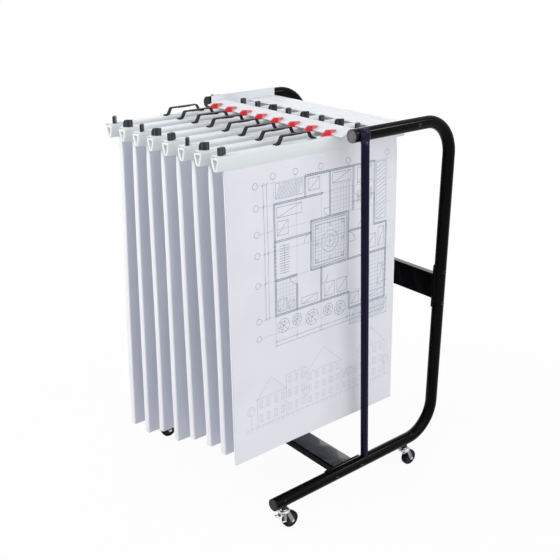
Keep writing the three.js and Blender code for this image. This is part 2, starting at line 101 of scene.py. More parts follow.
class Finish(Nodes):
    """A material round one Principled shader."""

    def __init__(self, name, color, roughness, shine=0.5, **fixed):
        self.material = bpy.data.materials.new(name)
        self.material.use_nodes = True
        super().__init__(self.material.node_tree)
        self.shader = self.tree.nodes["Principled BSDF"]
        self.color = color
        self.roughness = roughness
        self.put("Base Color", color)
        self.put("Roughness", roughness)
        self.put("Specular IOR Level", shine)
        for socket, value in fixed.items():
            self.put(socket, value)

    def put(self, socket, value):
        self.feed(self.shader.inputs[socket], value)

    def place(self, stretch=(1, 1, 1)):
        point = self.node("ShaderNodeTexCoord", {}, {}, "Object")
        return self.node("ShaderNodeMapping", {}, {"Vector": point, "Scale": stretch})

    def noise(self, scale, detail=3.0, stretch=(1, 1, 1)):
        sockets = {"Vector": self.place(stretch), "Scale": scale, "Detail": detail}
        return self.node("ShaderNodeTexNoise", {}, sockets)

    def ramp(self, value, low, high):
        sockets = {"Value": value, "From Min": low, "From Max": high}
        return self.node("ShaderNodeMapRange", {"interpolation_type": "SMOOTHSTEP"}, sockets)

    def vary_color(self, pattern, low, high):
        sockets = {0: pattern, 6: low, 7: high}
        self.put("Base Color", self.node("ShaderNodeMix", {"data_type": "RGBA"}, sockets, 2))

    def darken(self, pattern, darkest):
        """Takes the colour down to a share of itself where a pattern is low."""
        self.vary_color(pattern, [darkest * part for part in self.color[:3]] + [1.0], self.color)

    def vary_roughness(self, pattern, spread):
        self.put("Roughness", pattern * spread + (self.roughness - spread / 2))

    def relief(self, height, depth):
        self.put("Normal", self.node("ShaderNodeBump", {}, {"Height": height, "Distance": depth}))


def tint(red, green, blue):
    """The linear colour of a screen colour from 0 to 255."""
    return (*(((step / 255 + 0.055) / 1.055) ** 2.4 for step in (red, green, blue)), 1.0)


def gloss_paint(name, color, roughness, **fixed):
    paint = Finish(name, color, roughness, **fixed)
    paint.vary_roughness(paint.noise(14), 0.1)
    paint.relief(paint.noise(220, 2), 0.000008)
    return paint


def parts_of(geometry, kind):
    return [part for part in geometry if isinstance(part, kind)]


def corners_of(edges):
    return list(dict.fromkeys(vert for edge in edges for vert in edge.verts))


def faced_out(bm):
    bmesh.ops.recalc_face_normals(bm, faces=bm.faces[:])
    return bm


def draw_out(bm, edges, way):
    """Extrudes edges along a vector and gives the edges at the far end."""
    grown = bmesh.ops.extrude_edge_only(bm, edges=edges)["geom"]
    bmesh.ops.translate(bm, verts=parts_of(grown, bmesh.types.BMVert), vec=way)
    return parts_of(grown, bmesh.types.BMEdge)


def spin(bm, geometry, centre, axis, angle, steps, merge=False):
    """Spins geometry round an axis and gives what is at the far end."""
    turn = {"cent": centre, "axis": axis, "angle": angle, "steps": steps}
    return bmesh.ops.spin(bm, geom=geometry, use_merge=merge, **turn)["geom_last"]


def spin_loop(bm, edges, *turn):
    """Spins a loop of edges round an axis and gives the loop at the far end."""
    return parts_of(spin(bm, corners_of(edges) + edges, *turn), bmesh.types.BMEdge)


def bent_bar(corners, radius, bend, sides_round, steps):
    """A round bar through corner points, with every corner spun to one bend radius."""
    corners = [Vector(corner) for corner in corners]
    ways = [(after - before).normalized() for before, after in zip(corners, corners[1:])]
    bm = bmesh.new()
    facing = ways[0].to_track_quat("Z", "Y").to_matrix().to_4x4()
    start = Matrix.Translation(corners[0]) @ facing
    bmesh.ops.create_circle(bm, segments=sides_round, radius=radius, matrix=start)
    first = bm.edges[:]
    loop = first
    here = corners[0]
    for corner, before, after in zip(corners[1:], ways, ways[1:]):
        angle = before.angle(after)
        setback = bend * math.tan(angle / 2)
        bend_start = corner - before * setback
        loop = draw_out(bm, loop, bend_start - here)
        axis = before.cross(after).normalized()
        loop = spin_loop(bm, loop, bend_start + axis.cross(before) * bend, axis, angle, steps)
        here = corner + after * setback
    loop = draw_out(bm, loop, corners[-1] - here)
    for end in (first, loop):
        bmesh.ops.contextual_create(bm, geom=end)
    return faced_out(bm)


def placed(name, data):
    made = bpy.data.objects.new(name, data)
    bpy.context.scene.collection.objects.link(made)
    return made


def mesh_object(name, bm, finishes):
    """Makes a mesh an object at the origin."""
    mesh = bpy.data.meshes.new(name)
    bm.to_mesh(mesh)
    bm.free()
    for finish in finishes:
        mesh.materials.append(finish.material)
    return placed(name, mesh)


def piece(name, bm, finishes, body, slot, *nodes, smooth=40):
    """Makes a mesh a piece and hands it to the frame."""
    made = mesh_object(name, bm, finishes)
    made.data.shade_smooth()
    made.data.set_sharp_from_angle(angle=math.radians(smooth))
    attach(made, body)
    if nodes:
        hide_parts(*nodes)
    return made


tube_radius = 0.0175
tube_flats = 20
bend_radius = 0.100
top_arm_setback = 0.255
cap_head = 0.003
sides = (("left", -1), ("right", 1))
frame_low, frame_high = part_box("side_frame_right")
half_flat = tube_radius * math.cos(math.pi / tube_flats)
arm_x = (frame_low.x + frame_high.x) / 2
upright_y = frame_high.y - half_flat
top_arm_z = frame_high.z - half_flat
bottom_arm_z = frame_low.z + half_flat
bottom_arm_front = frame_low.y
top_arm_front = bottom_arm_front + top_arm_setback

black_paint = gloss_paint("gloss_black_paint", tint(3, 3, 4), 0.1, shine=0.055)
for side_name, side in sides:
    route = (
        (side * arm_x, top_arm_front + cap_head, top_arm_z),
        (side * arm_x, upright_y, top_arm_z),
        (side * arm_x, upright_y, bottom_arm_z),
        (side * arm_x, bottom_arm_front + cap_head, bottom_arm_z),
    )
    tube = bent_bar(route, tube_radius, bend_radius, 48, 20)
    piece(f"bent_tube_{side_name}", tube, [black_paint], "frame", "black_paint", f"side_frame_{side_name}")

# End caps: black moulded plugs pressed into the open ends of the arms.
# The face is spark-eroded matt inside a narrow polished rim. The right-hand top one's face is painted grey
# with a mottle as painted light, where the others stay black.


def moved(bm, place):
    bmesh.ops.transform(bm, matrix=place, verts=bm.verts[:])
    return bm


def line_through(bm, points):
    """The corners and the edges of a line through points."""
    corners = [bm.verts.new(point) for point in points]
    return corners, [bm.edges.new(pair) for pair in zip(corners, corners[1:])]


def turned(profile, sides_round):
    """A profile of (radius, height) points spun round the Z axis."""
    bm = bmesh.new()
    corners, edges = line_through(bm, [(radius, 0, height) for radius, height in profile])
    spin(bm, corners + edges, (0, 0, 0), (0, 0, 1), 2 * math.pi, sides_round, merge=True)
    bmesh.ops.remove_doubles(bm, verts=bm.verts[:], dist=1e-6)
    return faced_out(bm)


def moulded_plastic(name, color, roughness, grain, depth, **fixed):
    plastic = Finish(name, color, roughness, **fixed)
    speckle = plastic.noise(grain, 4)
    plastic.darken(speckle, 0.75)
    plastic.vary_roughness(plastic.noise(grain / 3, 2), 0.15)
    plastic.relief(speckle, depth)
    return plastic


cap_profile = (
    (0, 0.0027),
    (0.0138, 0.0026),
    (0.0143, 0.0021),
    (0.0149, 0.0029),
    (0.0163, 0.0030),
    (0.0171, 0.0024),
    (tube_radius, 0.0014),
    (tube_radius, 0),
    (0, 0),
)
cap_face_radius = 0.0160
cap_black = moulded_plastic("cap_black_plastic", tint(17, 17, 19), 0.42, 900, 0.0001, shine=0.25)
# The grey cap face is painted light: the same black plug, coloured lighter as if lit, with a light and dark
# mottle.
cap_painted_light = moulded_plastic("cap_scuffed_plastic", tint(118, 115, 120), 0.5, 420, 0.0002)
painted_light_mottle = cap_painted_light.ramp(cap_painted_light.noise(150, 4), 0.2, 0.8)
cap_painted_light.vary_color(painted_light_mottle, tint(84, 80, 84), tint(122, 118, 122))
facing_front = Matrix.Rotation(math.pi / 2, 4, "X")
arm_ends = (("top", top_arm_front, top_arm_z), ("bottom", bottom_arm_front, bottom_arm_z))
for side_name, side in sides:
    for arm, front, height in arm_ends:
        place = Matrix.Translation((side * arm_x, front + cap_head, height)) @ facing_front
        cap = moved(turned(cap_profile, 48), place)
        # Only the right-hand top cap's face takes the painted light.
        painted_light_face = (arm, side) == ("top", 1)
        for face in cap.faces:
            across = (face.calc_center_median().xz - place.translation.xz).length
            face.material_index = int(painted_light_face and across < cap_face_radius)
        piece(f"end_cap_{arm}_{side_name}", cap, [cap_black, cap_painted_light], "frame", "knob_black")

# Cross beams: steel sheet folded to a shallow channel, with a curved saddle welded on each end.
# They tie the side frames together below the sheets and half way up the back. The flat top is polished.


def merge(whole, part, place=Matrix()):
    """Puts a finished part into a larger mesh."""
    loose = bpy.data.meshes.new("part")
    moved(part, place).to_mesh(loose)
    part.free()
    whole.from_mesh(loose)
    bpy.data.meshes.remove(loose)


def round_over(bm, edges, radius, steps):
    cut = {"offset": radius, "offset_type": "OFFSET", "segments": steps, "profile": 0.5}
    bmesh.ops.bevel(bm, geom=edges, affect="EDGES", material=-1, **cut)


def plated(bm, outside, thickness):
    """Turns a sheet of faces towards a vector and gives it its thickness."""
    if sum(face.normal.dot(outside) for face in bm.faces) < 0:
        bmesh.ops.reverse_faces(bm, faces=bm.faces[:])
    bmesh.ops.solidify(bm, geom=bm.faces[:], thickness=thickness)
    return bm


def folded_sheet(points, way, fold, steps, thickness):
    """A line of points drawn out to a sheet, its folds rounded and its thickness below its top."""
    bm = bmesh.new()
    draw_out(bm, line_through(bm, points)[1], way)
    faced_out(bm)
    round_over(bm, [edge for edge in bm.edges if len(edge.link_faces) == 2], fold, steps)
    return plated(bm, Vector((0, 0, 1)), thickness)


def soften(made, width, steps=2):
    """Breaks the sharp edges of a piece."""
    bevel = made.modifiers.new("broken_edges", "BEVEL")
    bevel.width = width
    bevel.segments = steps
    bevel.limit_method = "ANGLE"
    bevel.angle_limit = math.radians(50)
    bevel.harden_normals = True


beam_half_width = 0.038
beam_proud = 0.016
beam_depth = 0.022
beam_sheet = 0.0025
beam_fold = 0.004
saddle_length = 0.130
saddle_sheet = 0.003
saddle_wrap = math.radians(55)
saddle_inner = 0.01802
lower_beam_place = Vector((0, 0.00225, bottom_arm_z))
rear_beam_place = Vector((0, upright_y, 0.568))


def channel():
    trim = saddle_inner + saddle_sheet / 2
    low = beam_proud - beam_depth
    profile = (
        (-arm_x, -beam_half_width, low),
        (-arm_x, -beam_half_width, beam_proud),
        (-arm_x, beam_half_width, beam_proud),
        (-arm_x, beam_half_width, low),
    )
    bm = folded_sheet(profile, (2 * arm_x, 0, 0), beam_fold, 4, beam_sheet)
    for vert in bm.verts:
        reach = arm_x - math.sqrt(trim**2 - vert.co.z**2)
        vert.co.x = math.copysign(reach, vert.co.x)
    return bm


def saddle(side):
    bm = bmesh.new()
    across = side * (arm_x - saddle_inner * math.cos(saddle_wrap))
    corner = bm.verts.new((across, -saddle_length / 2, -saddle_inner * math.sin(saddle_wrap)))
    spin(bm, [corner], (side * arm_x, 0, 0), (0, side, 0), 2 * saddle_wrap, 16)
    draw_out(bm, bm.edges[:], (0, saddle_length, 0))
    return plated(faced_out(bm), Vector((side, 0, 0)), saddle_sheet)


beam_paint = gloss_paint("beam_black_paint", tint(9, 9, 10), 0.12, IOR=2.3)
for name, node, place in (
    ("lower_beam", "lower_cross_beam", Matrix.Translation(lower_beam_place)),
    ("rear_beam", "rear_cross_beam", Matrix.Translation(rear_beam_place) @ facing_front),
):
    beam = channel()
    for side_name, side in sides:
        merge(beam, saddle(side))
    moved(beam, place)
    for face in beam.faces:
        face.material_index = int(face.normal.z > 0.99)
    soften(piece(name, beam, [black_paint, beam_paint], "frame", "black_paint", node), 0.0007)

# Struts: thin steel tubes in a blue-black paint that stand on the bottom arms and lean out to the top arms.
# The top is pressed flat, thinned to its end, wrapped over the arm's outside and bolted to it.
strut_radius = 0.011
strut_lead = 0.01625
strut_foot = 0.07865
strut_flat_half_width = 0.017
strut_flat_half = 0.0025
strut_flat_drop = 0.008
strut_flare = 0.018
strut_flare_steps = 8
strut_wrap = math.radians(66)
strut_wrap_steps = 12
strut_wrap_lean = 0.6
strut_end_thins = 0.75
strut_seat = 0.0004


def strut(side):
    seat = tube_radius + strut_seat
    wrap_radius = seat + strut_flat_half
    wrap_start = math.asin(strut_flat_drop / wrap_radius)
    arm = Vector((side * arm_x, strut_lead, top_arm_z))
    foot = Vector((side * arm_x, strut_foot, bottom_arm_z + tube_radius / 2))
    flat_start = arm + Vector((side * wrap_radius * math.cos(wrap_start), 0, -strut_flat_drop))
    round_end = flat_start + (foot - flat_start).normalized() * strut_flare
    bm = bmesh.new()
    bmesh.ops.create_circle(bm, segments=32, radius=strut_radius, matrix=Matrix.Translation(foot))
    first = bm.edges[:]
    loop = draw_out(bm, first, round_end - foot)
    thin = wide = strut_radius
    for step in range(1, strut_flare_steps + 1):
        share = step / strut_flare_steps
        ease = share * share * (3 - 2 * share)
        new_thin = strut_radius + (strut_flat_half - strut_radius) * ease
        new_wide = strut_radius + (strut_flat_half_width - strut_radius) * ease
        loop = draw_out(bm, loop, (flat_start - round_end) / strut_flare_steps)
        shrink = (new_thin / thin, new_wide / wide, 1)
        middle = Matrix.Translation(-round_end.lerp(flat_start, share))
        bmesh.ops.scale(bm, vec=shrink, space=middle, verts=corners_of(loop))
        thin, wide = new_thin, new_wide
    loop = spin_loop(bm, loop, arm, (0, -side, 0), wrap_start + strut_wrap, strut_wrap_steps)
    for end in (first, loop):
        bmesh.ops.contextual_create(bm, geom=end)
    for vert in bm.verts:
        if vert.co.z > arm.z:
            out = Vector((vert.co.x - arm.x, 0, vert.co.z - arm.z))
            climb = math.atan2(out.z, abs(out.x)) / strut_wrap
            thinned = seat + (out.length - seat) * (1 - strut_end_thins * climb)
            vert.co.y += strut_wrap_lean * (wrap_radius - abs(out.x))
            vert.co.x = arm.x + out.x * thinned / out.length
            vert.co.z = arm.z + out.z * thinned / out.length
    return faced_out(bm)


strut_paint = gloss_paint("blue_black_paint", tint(13, 10, 44), 0.2, shine=0.1)
for side_name, side in sides:
    node = f"strut_{side_name}"
    piece(f"lean_tube_{side_name}", strut(side), [strut_paint], "frame", "strut_paint", node)

# Hanger: two cheek plates inside the top arms, a front rail with a sloping flange and a flat rear rail.
# All are bent from steel sheet and powder coated white, with a fine pebbled skin.
white_coat = Finish("white_powder_coat", tint(243, 244, 247), 0.38, shine=0.15)
pebble = white_coat.noise(750, 3)
white_coat.vary_roughness(pebble, 0.16)
white_coat.relief(pebble, 0.00006)
white_coat.vary_color(white_coat.noise(5), tint(238, 240, 244), tint(246, 247, 249))


def slab(low, high):
    """A plate between two corners."""
    bm = bmesh.new()
    bmesh.ops.create_cube(bm, size=1)
    return moved(bm, Matrix.Translation((low + high) / 2) @ Matrix.Diagonal((*(high - low), 1)))


def hanger_part(name, bm, node, broken_edge):
    soften(piece(name, bm, [white_coat], "frame", "white_paint", node), broken_edge)


for side_name, side in sides:
    node = f"hanger_cheek_{side_name}"
    hanger_part(f"cheek_plate_{side_name}", slab(*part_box(node)), node, 0.0008)

rail_sheet = 0.0025
flange_lip = 0.009
flange_fold = 0.003
rail_low, rail_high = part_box("front_rail")
flange_points = (
    (rail_low.x, rail_low.y, rail_low.z + rail_sheet),
    (rail_low.x, rail_high.y, rail_high.z),
    (rail_low.x, rail_high.y, rail_high.z - flange_lip),
)
flange = folded_sheet(flange_points, (rail_high.x - rail_low.x, 0, 0), flange_fold, 4, rail_sheet)
hanger_part("flange_rail", flange, "front_rail", 0.0007)


def cut_across(bm, y):
    """Cuts the faces of a mesh along an upright plane from side to side."""
    whole = bm.verts[:] + bm.edges[:] + bm.faces[:]
    bmesh.ops.bisect_plane(bm, geom=whole, plane_co=(0, y, 0), plane_no=(0, 1, 0))


def push(bm, faces, way):
    """Extrudes faces along a vector."""
    grown = bmesh.ops.extrude_face_region(bm, geom=faces)["geom"]
    bmesh.ops.translate(bm, verts=parts_of(grown, bmesh.types.BMVert), vec=way)


groove_setbacks = (0.026, 0.073)
groove_width = 0.005
plate_groove_depth = 0.0028
plate_low, plate_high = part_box("rear_rail")
plate = slab(plate_low, plate_high)
groove_middles = [plate_low.y + setback for setback in groove_setbacks]
for middle in groove_middles:
    cut_across(plate, middle - groove_width / 2)
    cut_across(plate, middle + groove_width / 2)
for middle in groove_middles:
    tops = [face for face in plate.faces if face.normal.z > 0.9]
    sunk = [face for face in tops if abs(face.calc_center_median().y - middle) < groove_width / 2]
    push(plate, sunk, (0, 0, -plate_groove_depth))
    bmesh.ops.delete(plate, geom=sunk, context="FACES_ONLY")
hanger_part("plate_rail", plate, "rear_rail", 0.0005)

# Clamps: extruded white plastic of a V section, open below between two jaws that grip the sheets.
# A moulded nose closes the front end, with a tapering hollow and a slot for the tightening bar.
clamp_count = 8
clamp_rise = 0.021
clamp_depth = 0.037
clamp_half = 0.0155
clamp_shoulder = 0.013
clamp_belly = 0.0085
clamp_crown = 0.004
slit_half = 0.0043
foot_half = 0.0073
foot_round = 0.0012
jaw_lip = 0.028
cavity_half = 0.0125
cavity_top = 0.0072
groove_places = (0.0094, -0.0080)
groove_depth = 0.0008
groove_mouth = 0.0014
groove_slope = 0.0004
nose_length = 0.0200
nose_proud = 0.0002
nose_foot_round = 0.005
nose_rim = 0.0022
nose_hollow = ((0.0030, -0.0325), (0.0088, -0.0090), (-0.0078, -0.0090), (-0.0002, -0.0325))
nose_slot = ((-0.0115, -0.0054), (-0.0030, -0.0054), (-0.0030, -0.0034), (-0.0115, -0.0034))
hollow_rim = 0.0005
rim_crown = 0.003
rim_foot = 0.001
clamp_side = ((foot_half, -clamp_depth), (clamp_half, -clamp_shoulder), (clamp_half, 0))


class Clamp:
    """One clamp's name, the box of its body and the middle of its flat top."""

    def __init__(self, number):
        self.number = number
        self.name = f"clamp_{number}"
        self.low, self.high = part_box(f"{self.name}_body")
        self.x = (self.low.x + self.high.x) / 2
        self.top = self.high.z - clamp_rise


def mirrored(points):
    return [(-across, up) for across, up in reversed(points)]


def jaw_outline():
    """The open section, as points across and up from the middle of the top, with two fine grooves."""
    grooves = []
    for across in groove_places:
        grooves += [(across, 0), (across - groove_slope, -groove_depth)]
        grooves += [(across - groove_mouth + groove_slope, -groove_depth), (across - groove_mouth, 0)]
    inside = [(cavity_half, -cavity_top), (cavity_half, -clamp_shoulder)]
    inside += [(slit_half, -jaw_lip), (slit_half, -clamp_depth)]
    return [*clamp_side, *grooves, *mirrored(clamp_side), *mirrored(inside), *inside]


def nose_outline():
    """The closed front section, which stands a little proud of the open one."""
    shell = [*clamp_side, *mirrored(clamp_side)]
    return [(across + math.copysign(nose_proud, across), up) for across, up in shell]


def drawn(clamp, outlines, front, back):
    """Outlines across the clamp filled and drawn out from front to back."""
    bm = bmesh.new()
    for loop in outlines:
        points = [bm.verts.new((clamp.x + across, front, clamp.top + up)) for across, up in loop]
        for pair in zip(points, points[1:] + points[:1]):
            bm.edges.new(pair)
    bmesh.ops.triangle_fill(bm, edges=bm.edges[:], use_beauty=True)
    push(bm, bm.faces[:], (0, back - front, 0))
    return faced_out(bm)


def lengthwise_edges(bm, clamp, across, up):
    return [
        edge
        for edge in bm.edges
        if abs(edge.verts[0].co.y - edge.verts[1].co.y) > nose_length / 2
        and abs(abs(edge.verts[0].co.x - clamp.x) - across) < 1e-5
        and abs(edge.verts[0].co.z - clamp.top - up) < 1e-5
    ]


def round_section(bm, clamp, proud, foot, foot_steps):
    """Rounds the belly, the crown and the feet of a drawn section."""
    for across, up, radius, steps in (
        (clamp_half, -clamp_shoulder, clamp_belly, 8),
        (clamp_half, 0, clamp_crown, 4),
        (foot_half, -clamp_depth, foot, foot_steps),
    ):
        round_over(bm, lengthwise_edges(bm, clamp, across + proud, up), radius, steps)


def extrusion(clamp):
    front = clamp.low.y
    bm = drawn(clamp, [jaw_outline()], front + nose_length, clamp.high.y)
    round_section(bm, clamp, 0, foot_round, 2)
    outlines = (nose_outline(), nose_hollow, nose_slot)
    nose = drawn(clamp, outlines, front, front + nose_length + nose_proud)
    round_section(nose, clamp, nose_proud, nose_foot_round, 5)
    slope = (clamp_half - foot_half) / (clamp_depth - clamp_shoulder)
    outer = []
    inner = []
    for edge in nose.edges:
        fronts = [face.normal.y < -0.9 for face in edge.link_faces]
        if max(vert.co.y for vert in edge.verts) < front + 1e-5 and sum(fronts) == 1:
            middle = (edge.verts[0].co + edge.verts[1].co) / 2
            up = middle.z - clamp.top
            reach = clamp_half - slope * max(0, -up - clamp_shoulder) - nose_rim
            at_end = up > -rim_crown or up < rim_foot - clamp_depth
            rim = outer if at_end or abs(middle.x - clamp.x) > reach else inner
            rim.append(edge)
    round_over(nose, inner, hollow_rim, 2)
    round_over(nose, [edge for edge in outer if edge.is_valid], nose_rim, 4)
    merge(bm, nose)
    return bm


clamp_white = Finish("clamp_white_plastic", tint(243, 246, 246), 0.36, shine=0.2)
draw_lines = clamp_white.noise(420, 2, (1, 0.004, 1))
clamp_white.vary_roughness(draw_lines, 0.2)
clamp_white.vary_color(clamp_white.noise(7), tint(237, 241, 241), tint(243, 246, 246))
clamp_white.relief(draw_lines, 0.00006)
clamps = [Clamp(number) for number in range(1, clamp_count + 1)]
for clamp in clamps:
    name = f"{clamp.name}_extrusion"
    node = f"{clamp.name}_body"
    piece(name, extrusion(clamp), [clamp_white], clamp.name, "clamp_white", node, smooth=35)

# Strap handles: black moulded straps bent to a flat arch, riveted to the clamp's top by their feet.
# The legs widen towards the feet, and a pad under the arch thickens the grip.
strap_foot_width = 0.0135
strap_grip_width = 0.0115
strap_sheet = 0.0030
strap_bend = 0.004
strap_foot = 0.013
strap_span = 0.104
strap_grip = 0.088
strap_hook_gap = 0.0205
strap_pad_half = Vector((0.0046, 0.020, 0.0012))
rivet_shift = 0.001
rivet_profile = ((0, 0.0016), (0.0012, 0.0014), (0.0021, 0.0007), (0.0024, 0), (0, 0))
strap_black = gloss_paint("strap_black_plastic", tint(30, 31, 34), 0.45, shine=0.12)
for clamp in clamps:
    x = clamp.x
    crest = clamp.high.z
    foot_top = clamp.top + strap_sheet
    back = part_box(f"{clamp.name}_hook")[0].y - strap_hook_gap
    leg_back = back - strap_foot
    leg_lead = leg_back - strap_span
    slope = (strap_span - strap_grip) / 2
    profile = (
        (leg_lead - strap_foot, foot_top),
        (leg_lead - strap_sheet / 2, foot_top),
        (leg_lead + slope, crest),
        (leg_back - slope, crest),
        (leg_back + strap_sheet / 2, foot_top),
        (back, foot_top),
    )
    route = [(x - strap_foot_width / 2, along, height) for along, height in profile]
    strap = folded_sheet(route, (strap_foot_width, 0, 0), strap_bend, 5, strap_sheet)
    for vert in strap.verts:
        climb = (vert.co.z - clamp.top) / (crest - clamp.top)
        narrow = 1 - climb * (1 - strap_grip_width / strap_foot_width)
        vert.co.x = x + (vert.co.x - x) * narrow
    for along in (leg_lead - strap_foot / 2 - rivet_shift, back - strap_foot / 2 + rivet_shift):
        merge(strap, turned(rivet_profile, 12), Matrix.Translation((x, along, foot_top)))
    pad = Vector((x, (leg_lead + leg_back) / 2, crest - strap_sheet))
    merge(strap, slab(pad - strap_pad_half, pad + strap_pad_half))
    soften(piece(f"{clamp.name}_strap", strap, [strap_black], clamp.name, "knob_black"), 0.0006)

# Hooks: red moulded plastic, screwed to the clamp just ahead of the rail.
# A narrow finger lies over the rail's flange and carries the clamp's back end. The finger is painted pale
# pink as a painted highlight.
hook_length = 0.0285
hook_width = 0.010
hook_hump_lead = 0.020
hook_nose = 0.002
hook_hollow = 0.55
hook_seat = 0.0003
finger_thickness = 0.004
finger_narrow = 0.5
finger_start = 0.58
finger_step_half = 0.0003
nose_narrow = 0.3
nose_end = 0.42


def arc_through(start, pull, end, steps):
    """Points on the curve from start to end that leans towards pull."""
    points = []
    for step in range(1, steps + 1):
        share = step / steps
        points.append(start.lerp(pull, share).lerp(pull.lerp(end, share), share))
    return points


def cut_from_sheet(outline, left, right):
    """A filled outline of (y, z) points with its thickness from left to right."""
    bm = bmesh.new()
    face = bm.faces.new([bm.verts.new((left, *point)) for point in outline])
    push(bm, [face], (right - left, 0, 0))
    return faced_out(bm)


def hook(low, high):
    heel = low.y + hook_length
    length = high.y - low.y
    step_y = low.y + finger_start * length
    rise = (rail_high.z - rail_low.z - rail_sheet) / (rail_high.y - rail_low.y - rail_sheet)
    finger_low = rail_low.z + rail_sheet + hook_seat
    heel_low = finger_low + rise * (heel - rail_low.y)
    tip_low = finger_low + rise * (high.y - rail_low.y)
    nose = Vector((low.y, low.z + hook_nose))
    crest = Vector((low.y + hook_hump_lead, high.z))
    tip_top = Vector((high.y, tip_low + finger_thickness))
    outline = [low.yz, (heel, low.z), (heel, heel_low), (high.y, tip_low), tip_top]
    outline += arc_through(tip_top, Vector((heel, high.z)), crest, 8)
    outline += arc_through(crest, nose.lerp(crest, hook_hollow), nose, 6)
    bm = cut_from_sheet(outline, low.x, low.x + hook_width)
    for cut in (step_y - finger_step_half, step_y + finger_step_half):
        cut_across(bm, cut)
    middle = low.x + hook_width / 2
    for vert in bm.verts:
        share = (vert.co.y - low.y) / length
        narrow = nose_narrow + (1 - nose_narrow) * min(1, share / nose_end)
        if vert.co.y > step_y:
            narrow = finger_narrow
        vert.co.x = middle + (vert.co.x - middle) * narrow
    for face in bm.faces:
        # The finger beyond the step takes the pale pink painted highlight.
        face.material_index = int(face.calc_center_median().y > step_y + finger_step_half)
    return bm


hook_red = moulded_plastic("hook_red_plastic", tint(242, 42, 50), 0.34, 500, 0.00004)
finger_painted_highlight = moulded_plastic("finger_pale_red_plastic", tint(238, 128, 136), 0.4, 500, 0.00004)
for clamp in clamps:
    node = f"{clamp.name}_hook"
    shape = hook(*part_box(node))
    made = piece(f"{clamp.name}_red_hook", shape, [hook_red, finger_painted_highlight], clamp.name, "hook_red", node)
    soften(made, 0.0009, 3)

# Thumb screws: black moulded wings on a steel stud, two to a clamp, with some of their grip ribs painted
# pale as a painted highlight.
# One upper corner of the wing is rounded. The rear one stands behind the front rail.
wing_width = 0.0245
wing_thickness = 0.008
wing_columns = 8
wing_levels = 8
wing_rib_depth = 0.0009
wing_rib_margin = 0.1
wing_corner = 0.0075
wing_low = 0.0003
knob_height = 0.0185
knob_collar_height = 0.0035
knob_collar_radius = 0.0055
knob_collar_profile = (
    (0, 0),
    (knob_collar_radius - 0.0008, 0),
    (knob_collar_radius, 0.0008),
    (knob_collar_radius, knob_collar_height - 0.0012),
    (knob_collar_radius - 0.0012, knob_collar_height),
    (0, knob_collar_height + 0.0006),
)
front_turns = (140, 230, 140, 230, 110, 140, 230, 110)
rear_turns = (118, 118, 230, 118, 230, 118, 230, 118)


def split_along(bm, axis, count):
    """Splits the long edges of a unit shape along one axis."""
    long_edges = [edge for edge in bm.edges if abs(edge.verts[0].co[axis] - edge.verts[1].co[axis]) > 0.5]
    bmesh.ops.subdivide_edges(bm, edges=long_edges, cuts=count - 1, use_grid_fill=True)


def thumb_screw():
    bm = bmesh.new()
    bmesh.ops.create_cube(bm, size=1)
    split_along(bm, 0, wing_columns)
    split_along(bm, 2, wing_levels)
    for vert in bm.verts:
        column = round((vert.co.x + 0.5) * wing_columns)
        level = vert.co.z + 0.5
        ribbed = column % 2 and wing_rib_margin < level < 1 - wing_rib_margin
        depth = wing_thickness / 2 - (wing_rib_depth if ribbed else 0)
        vert.co.y = math.copysign(depth, vert.co.y)
        vert.co.x *= wing_width
        into_corner = vert.co.x - wing_width / 2 + wing_corner
        crown = knob_height
        if into_corner > 0:
            crown -= wing_corner - math.sqrt(max(0, wing_corner**2 - into_corner**2))
        vert.co.z = wing_low + (crown - wing_low) * level
    for face in bm.faces:
        column = math.floor((face.calc_center_median().x / wing_width + 0.5) * wing_columns)
        # Every other rib on the broad faces takes the pale painted highlight.
        face.material_index = int(abs(face.normal.y) > 0.5 and column % 4 == 1)
    merge(bm, turned(knob_collar_profile, 28))
    return bm


knob_black = moulded_plastic("knob_black_plastic", tint(27, 28, 30), 0.46, 1100, 0.00008)
# The pale grey of the ribs is a painted highlight.
rib_painted_highlight = moulded_plastic("knob_worn_rib_plastic", tint(74, 75, 78), 0.4, 1100, 0.00008)
for clamp in clamps:
    for end, turns in (("front", front_turns), ("rear", rear_turns)):
        node = f"{clamp.name}_{end}_screw"
        low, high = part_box(node)
        middle = (low + high) / 2
        turn = Matrix.Rotation(math.radians(turns[clamp.number - 1]), 4, "Z")
        place = Matrix.Translation((middle.x, middle.y, high.z - knob_height)) @ turn
        screw = moved(thumb_screw(), place)
        name = f"{clamp.name}_{end}_knob"
        screw_body = f"thumb_screw_{clamp.number}_{end}"
        soften(piece(name, screw, [knob_black, rib_painted_highlight], screw_body, "knob_black", node), 0.0005)

# Bundles: stacks of plan sheets that hang from the jaws, tight at the top and looser below.
# The cut edges show white at the front, and the faces are painted a darker lavender grey with up and down
# streaks as painted shade. Each stack bows in its own way, and all but the last hang askew.
sheet_width = 0.577
sheet_lengths = (0.935, 0.928, 0.884, 0.879, 0.835, 0.818, 0.812, 0.813)
hem_swings = (-0.028, -0.015, 0.0, 0.012, 0.026, 0.034, 0.035, 0.022)
stack_gripped = 0.008
stack_loose = 0.015
stack_hem = 0.017
stack_loosens = 0.070
front_stack_share = 0.4
stack_leaves = 12
stack_phase = 1.7
bow_depth = 0.0016
bow_wave = 5.1
ripple_depth = 0.0012
ripple_wave = 9.0
ripple_fall = 4.0
ripple_phase = 2.3
leaf_step = 0.0005
edge_round = 0.004
skew_top = 0.0125
skew_hem = 0.005


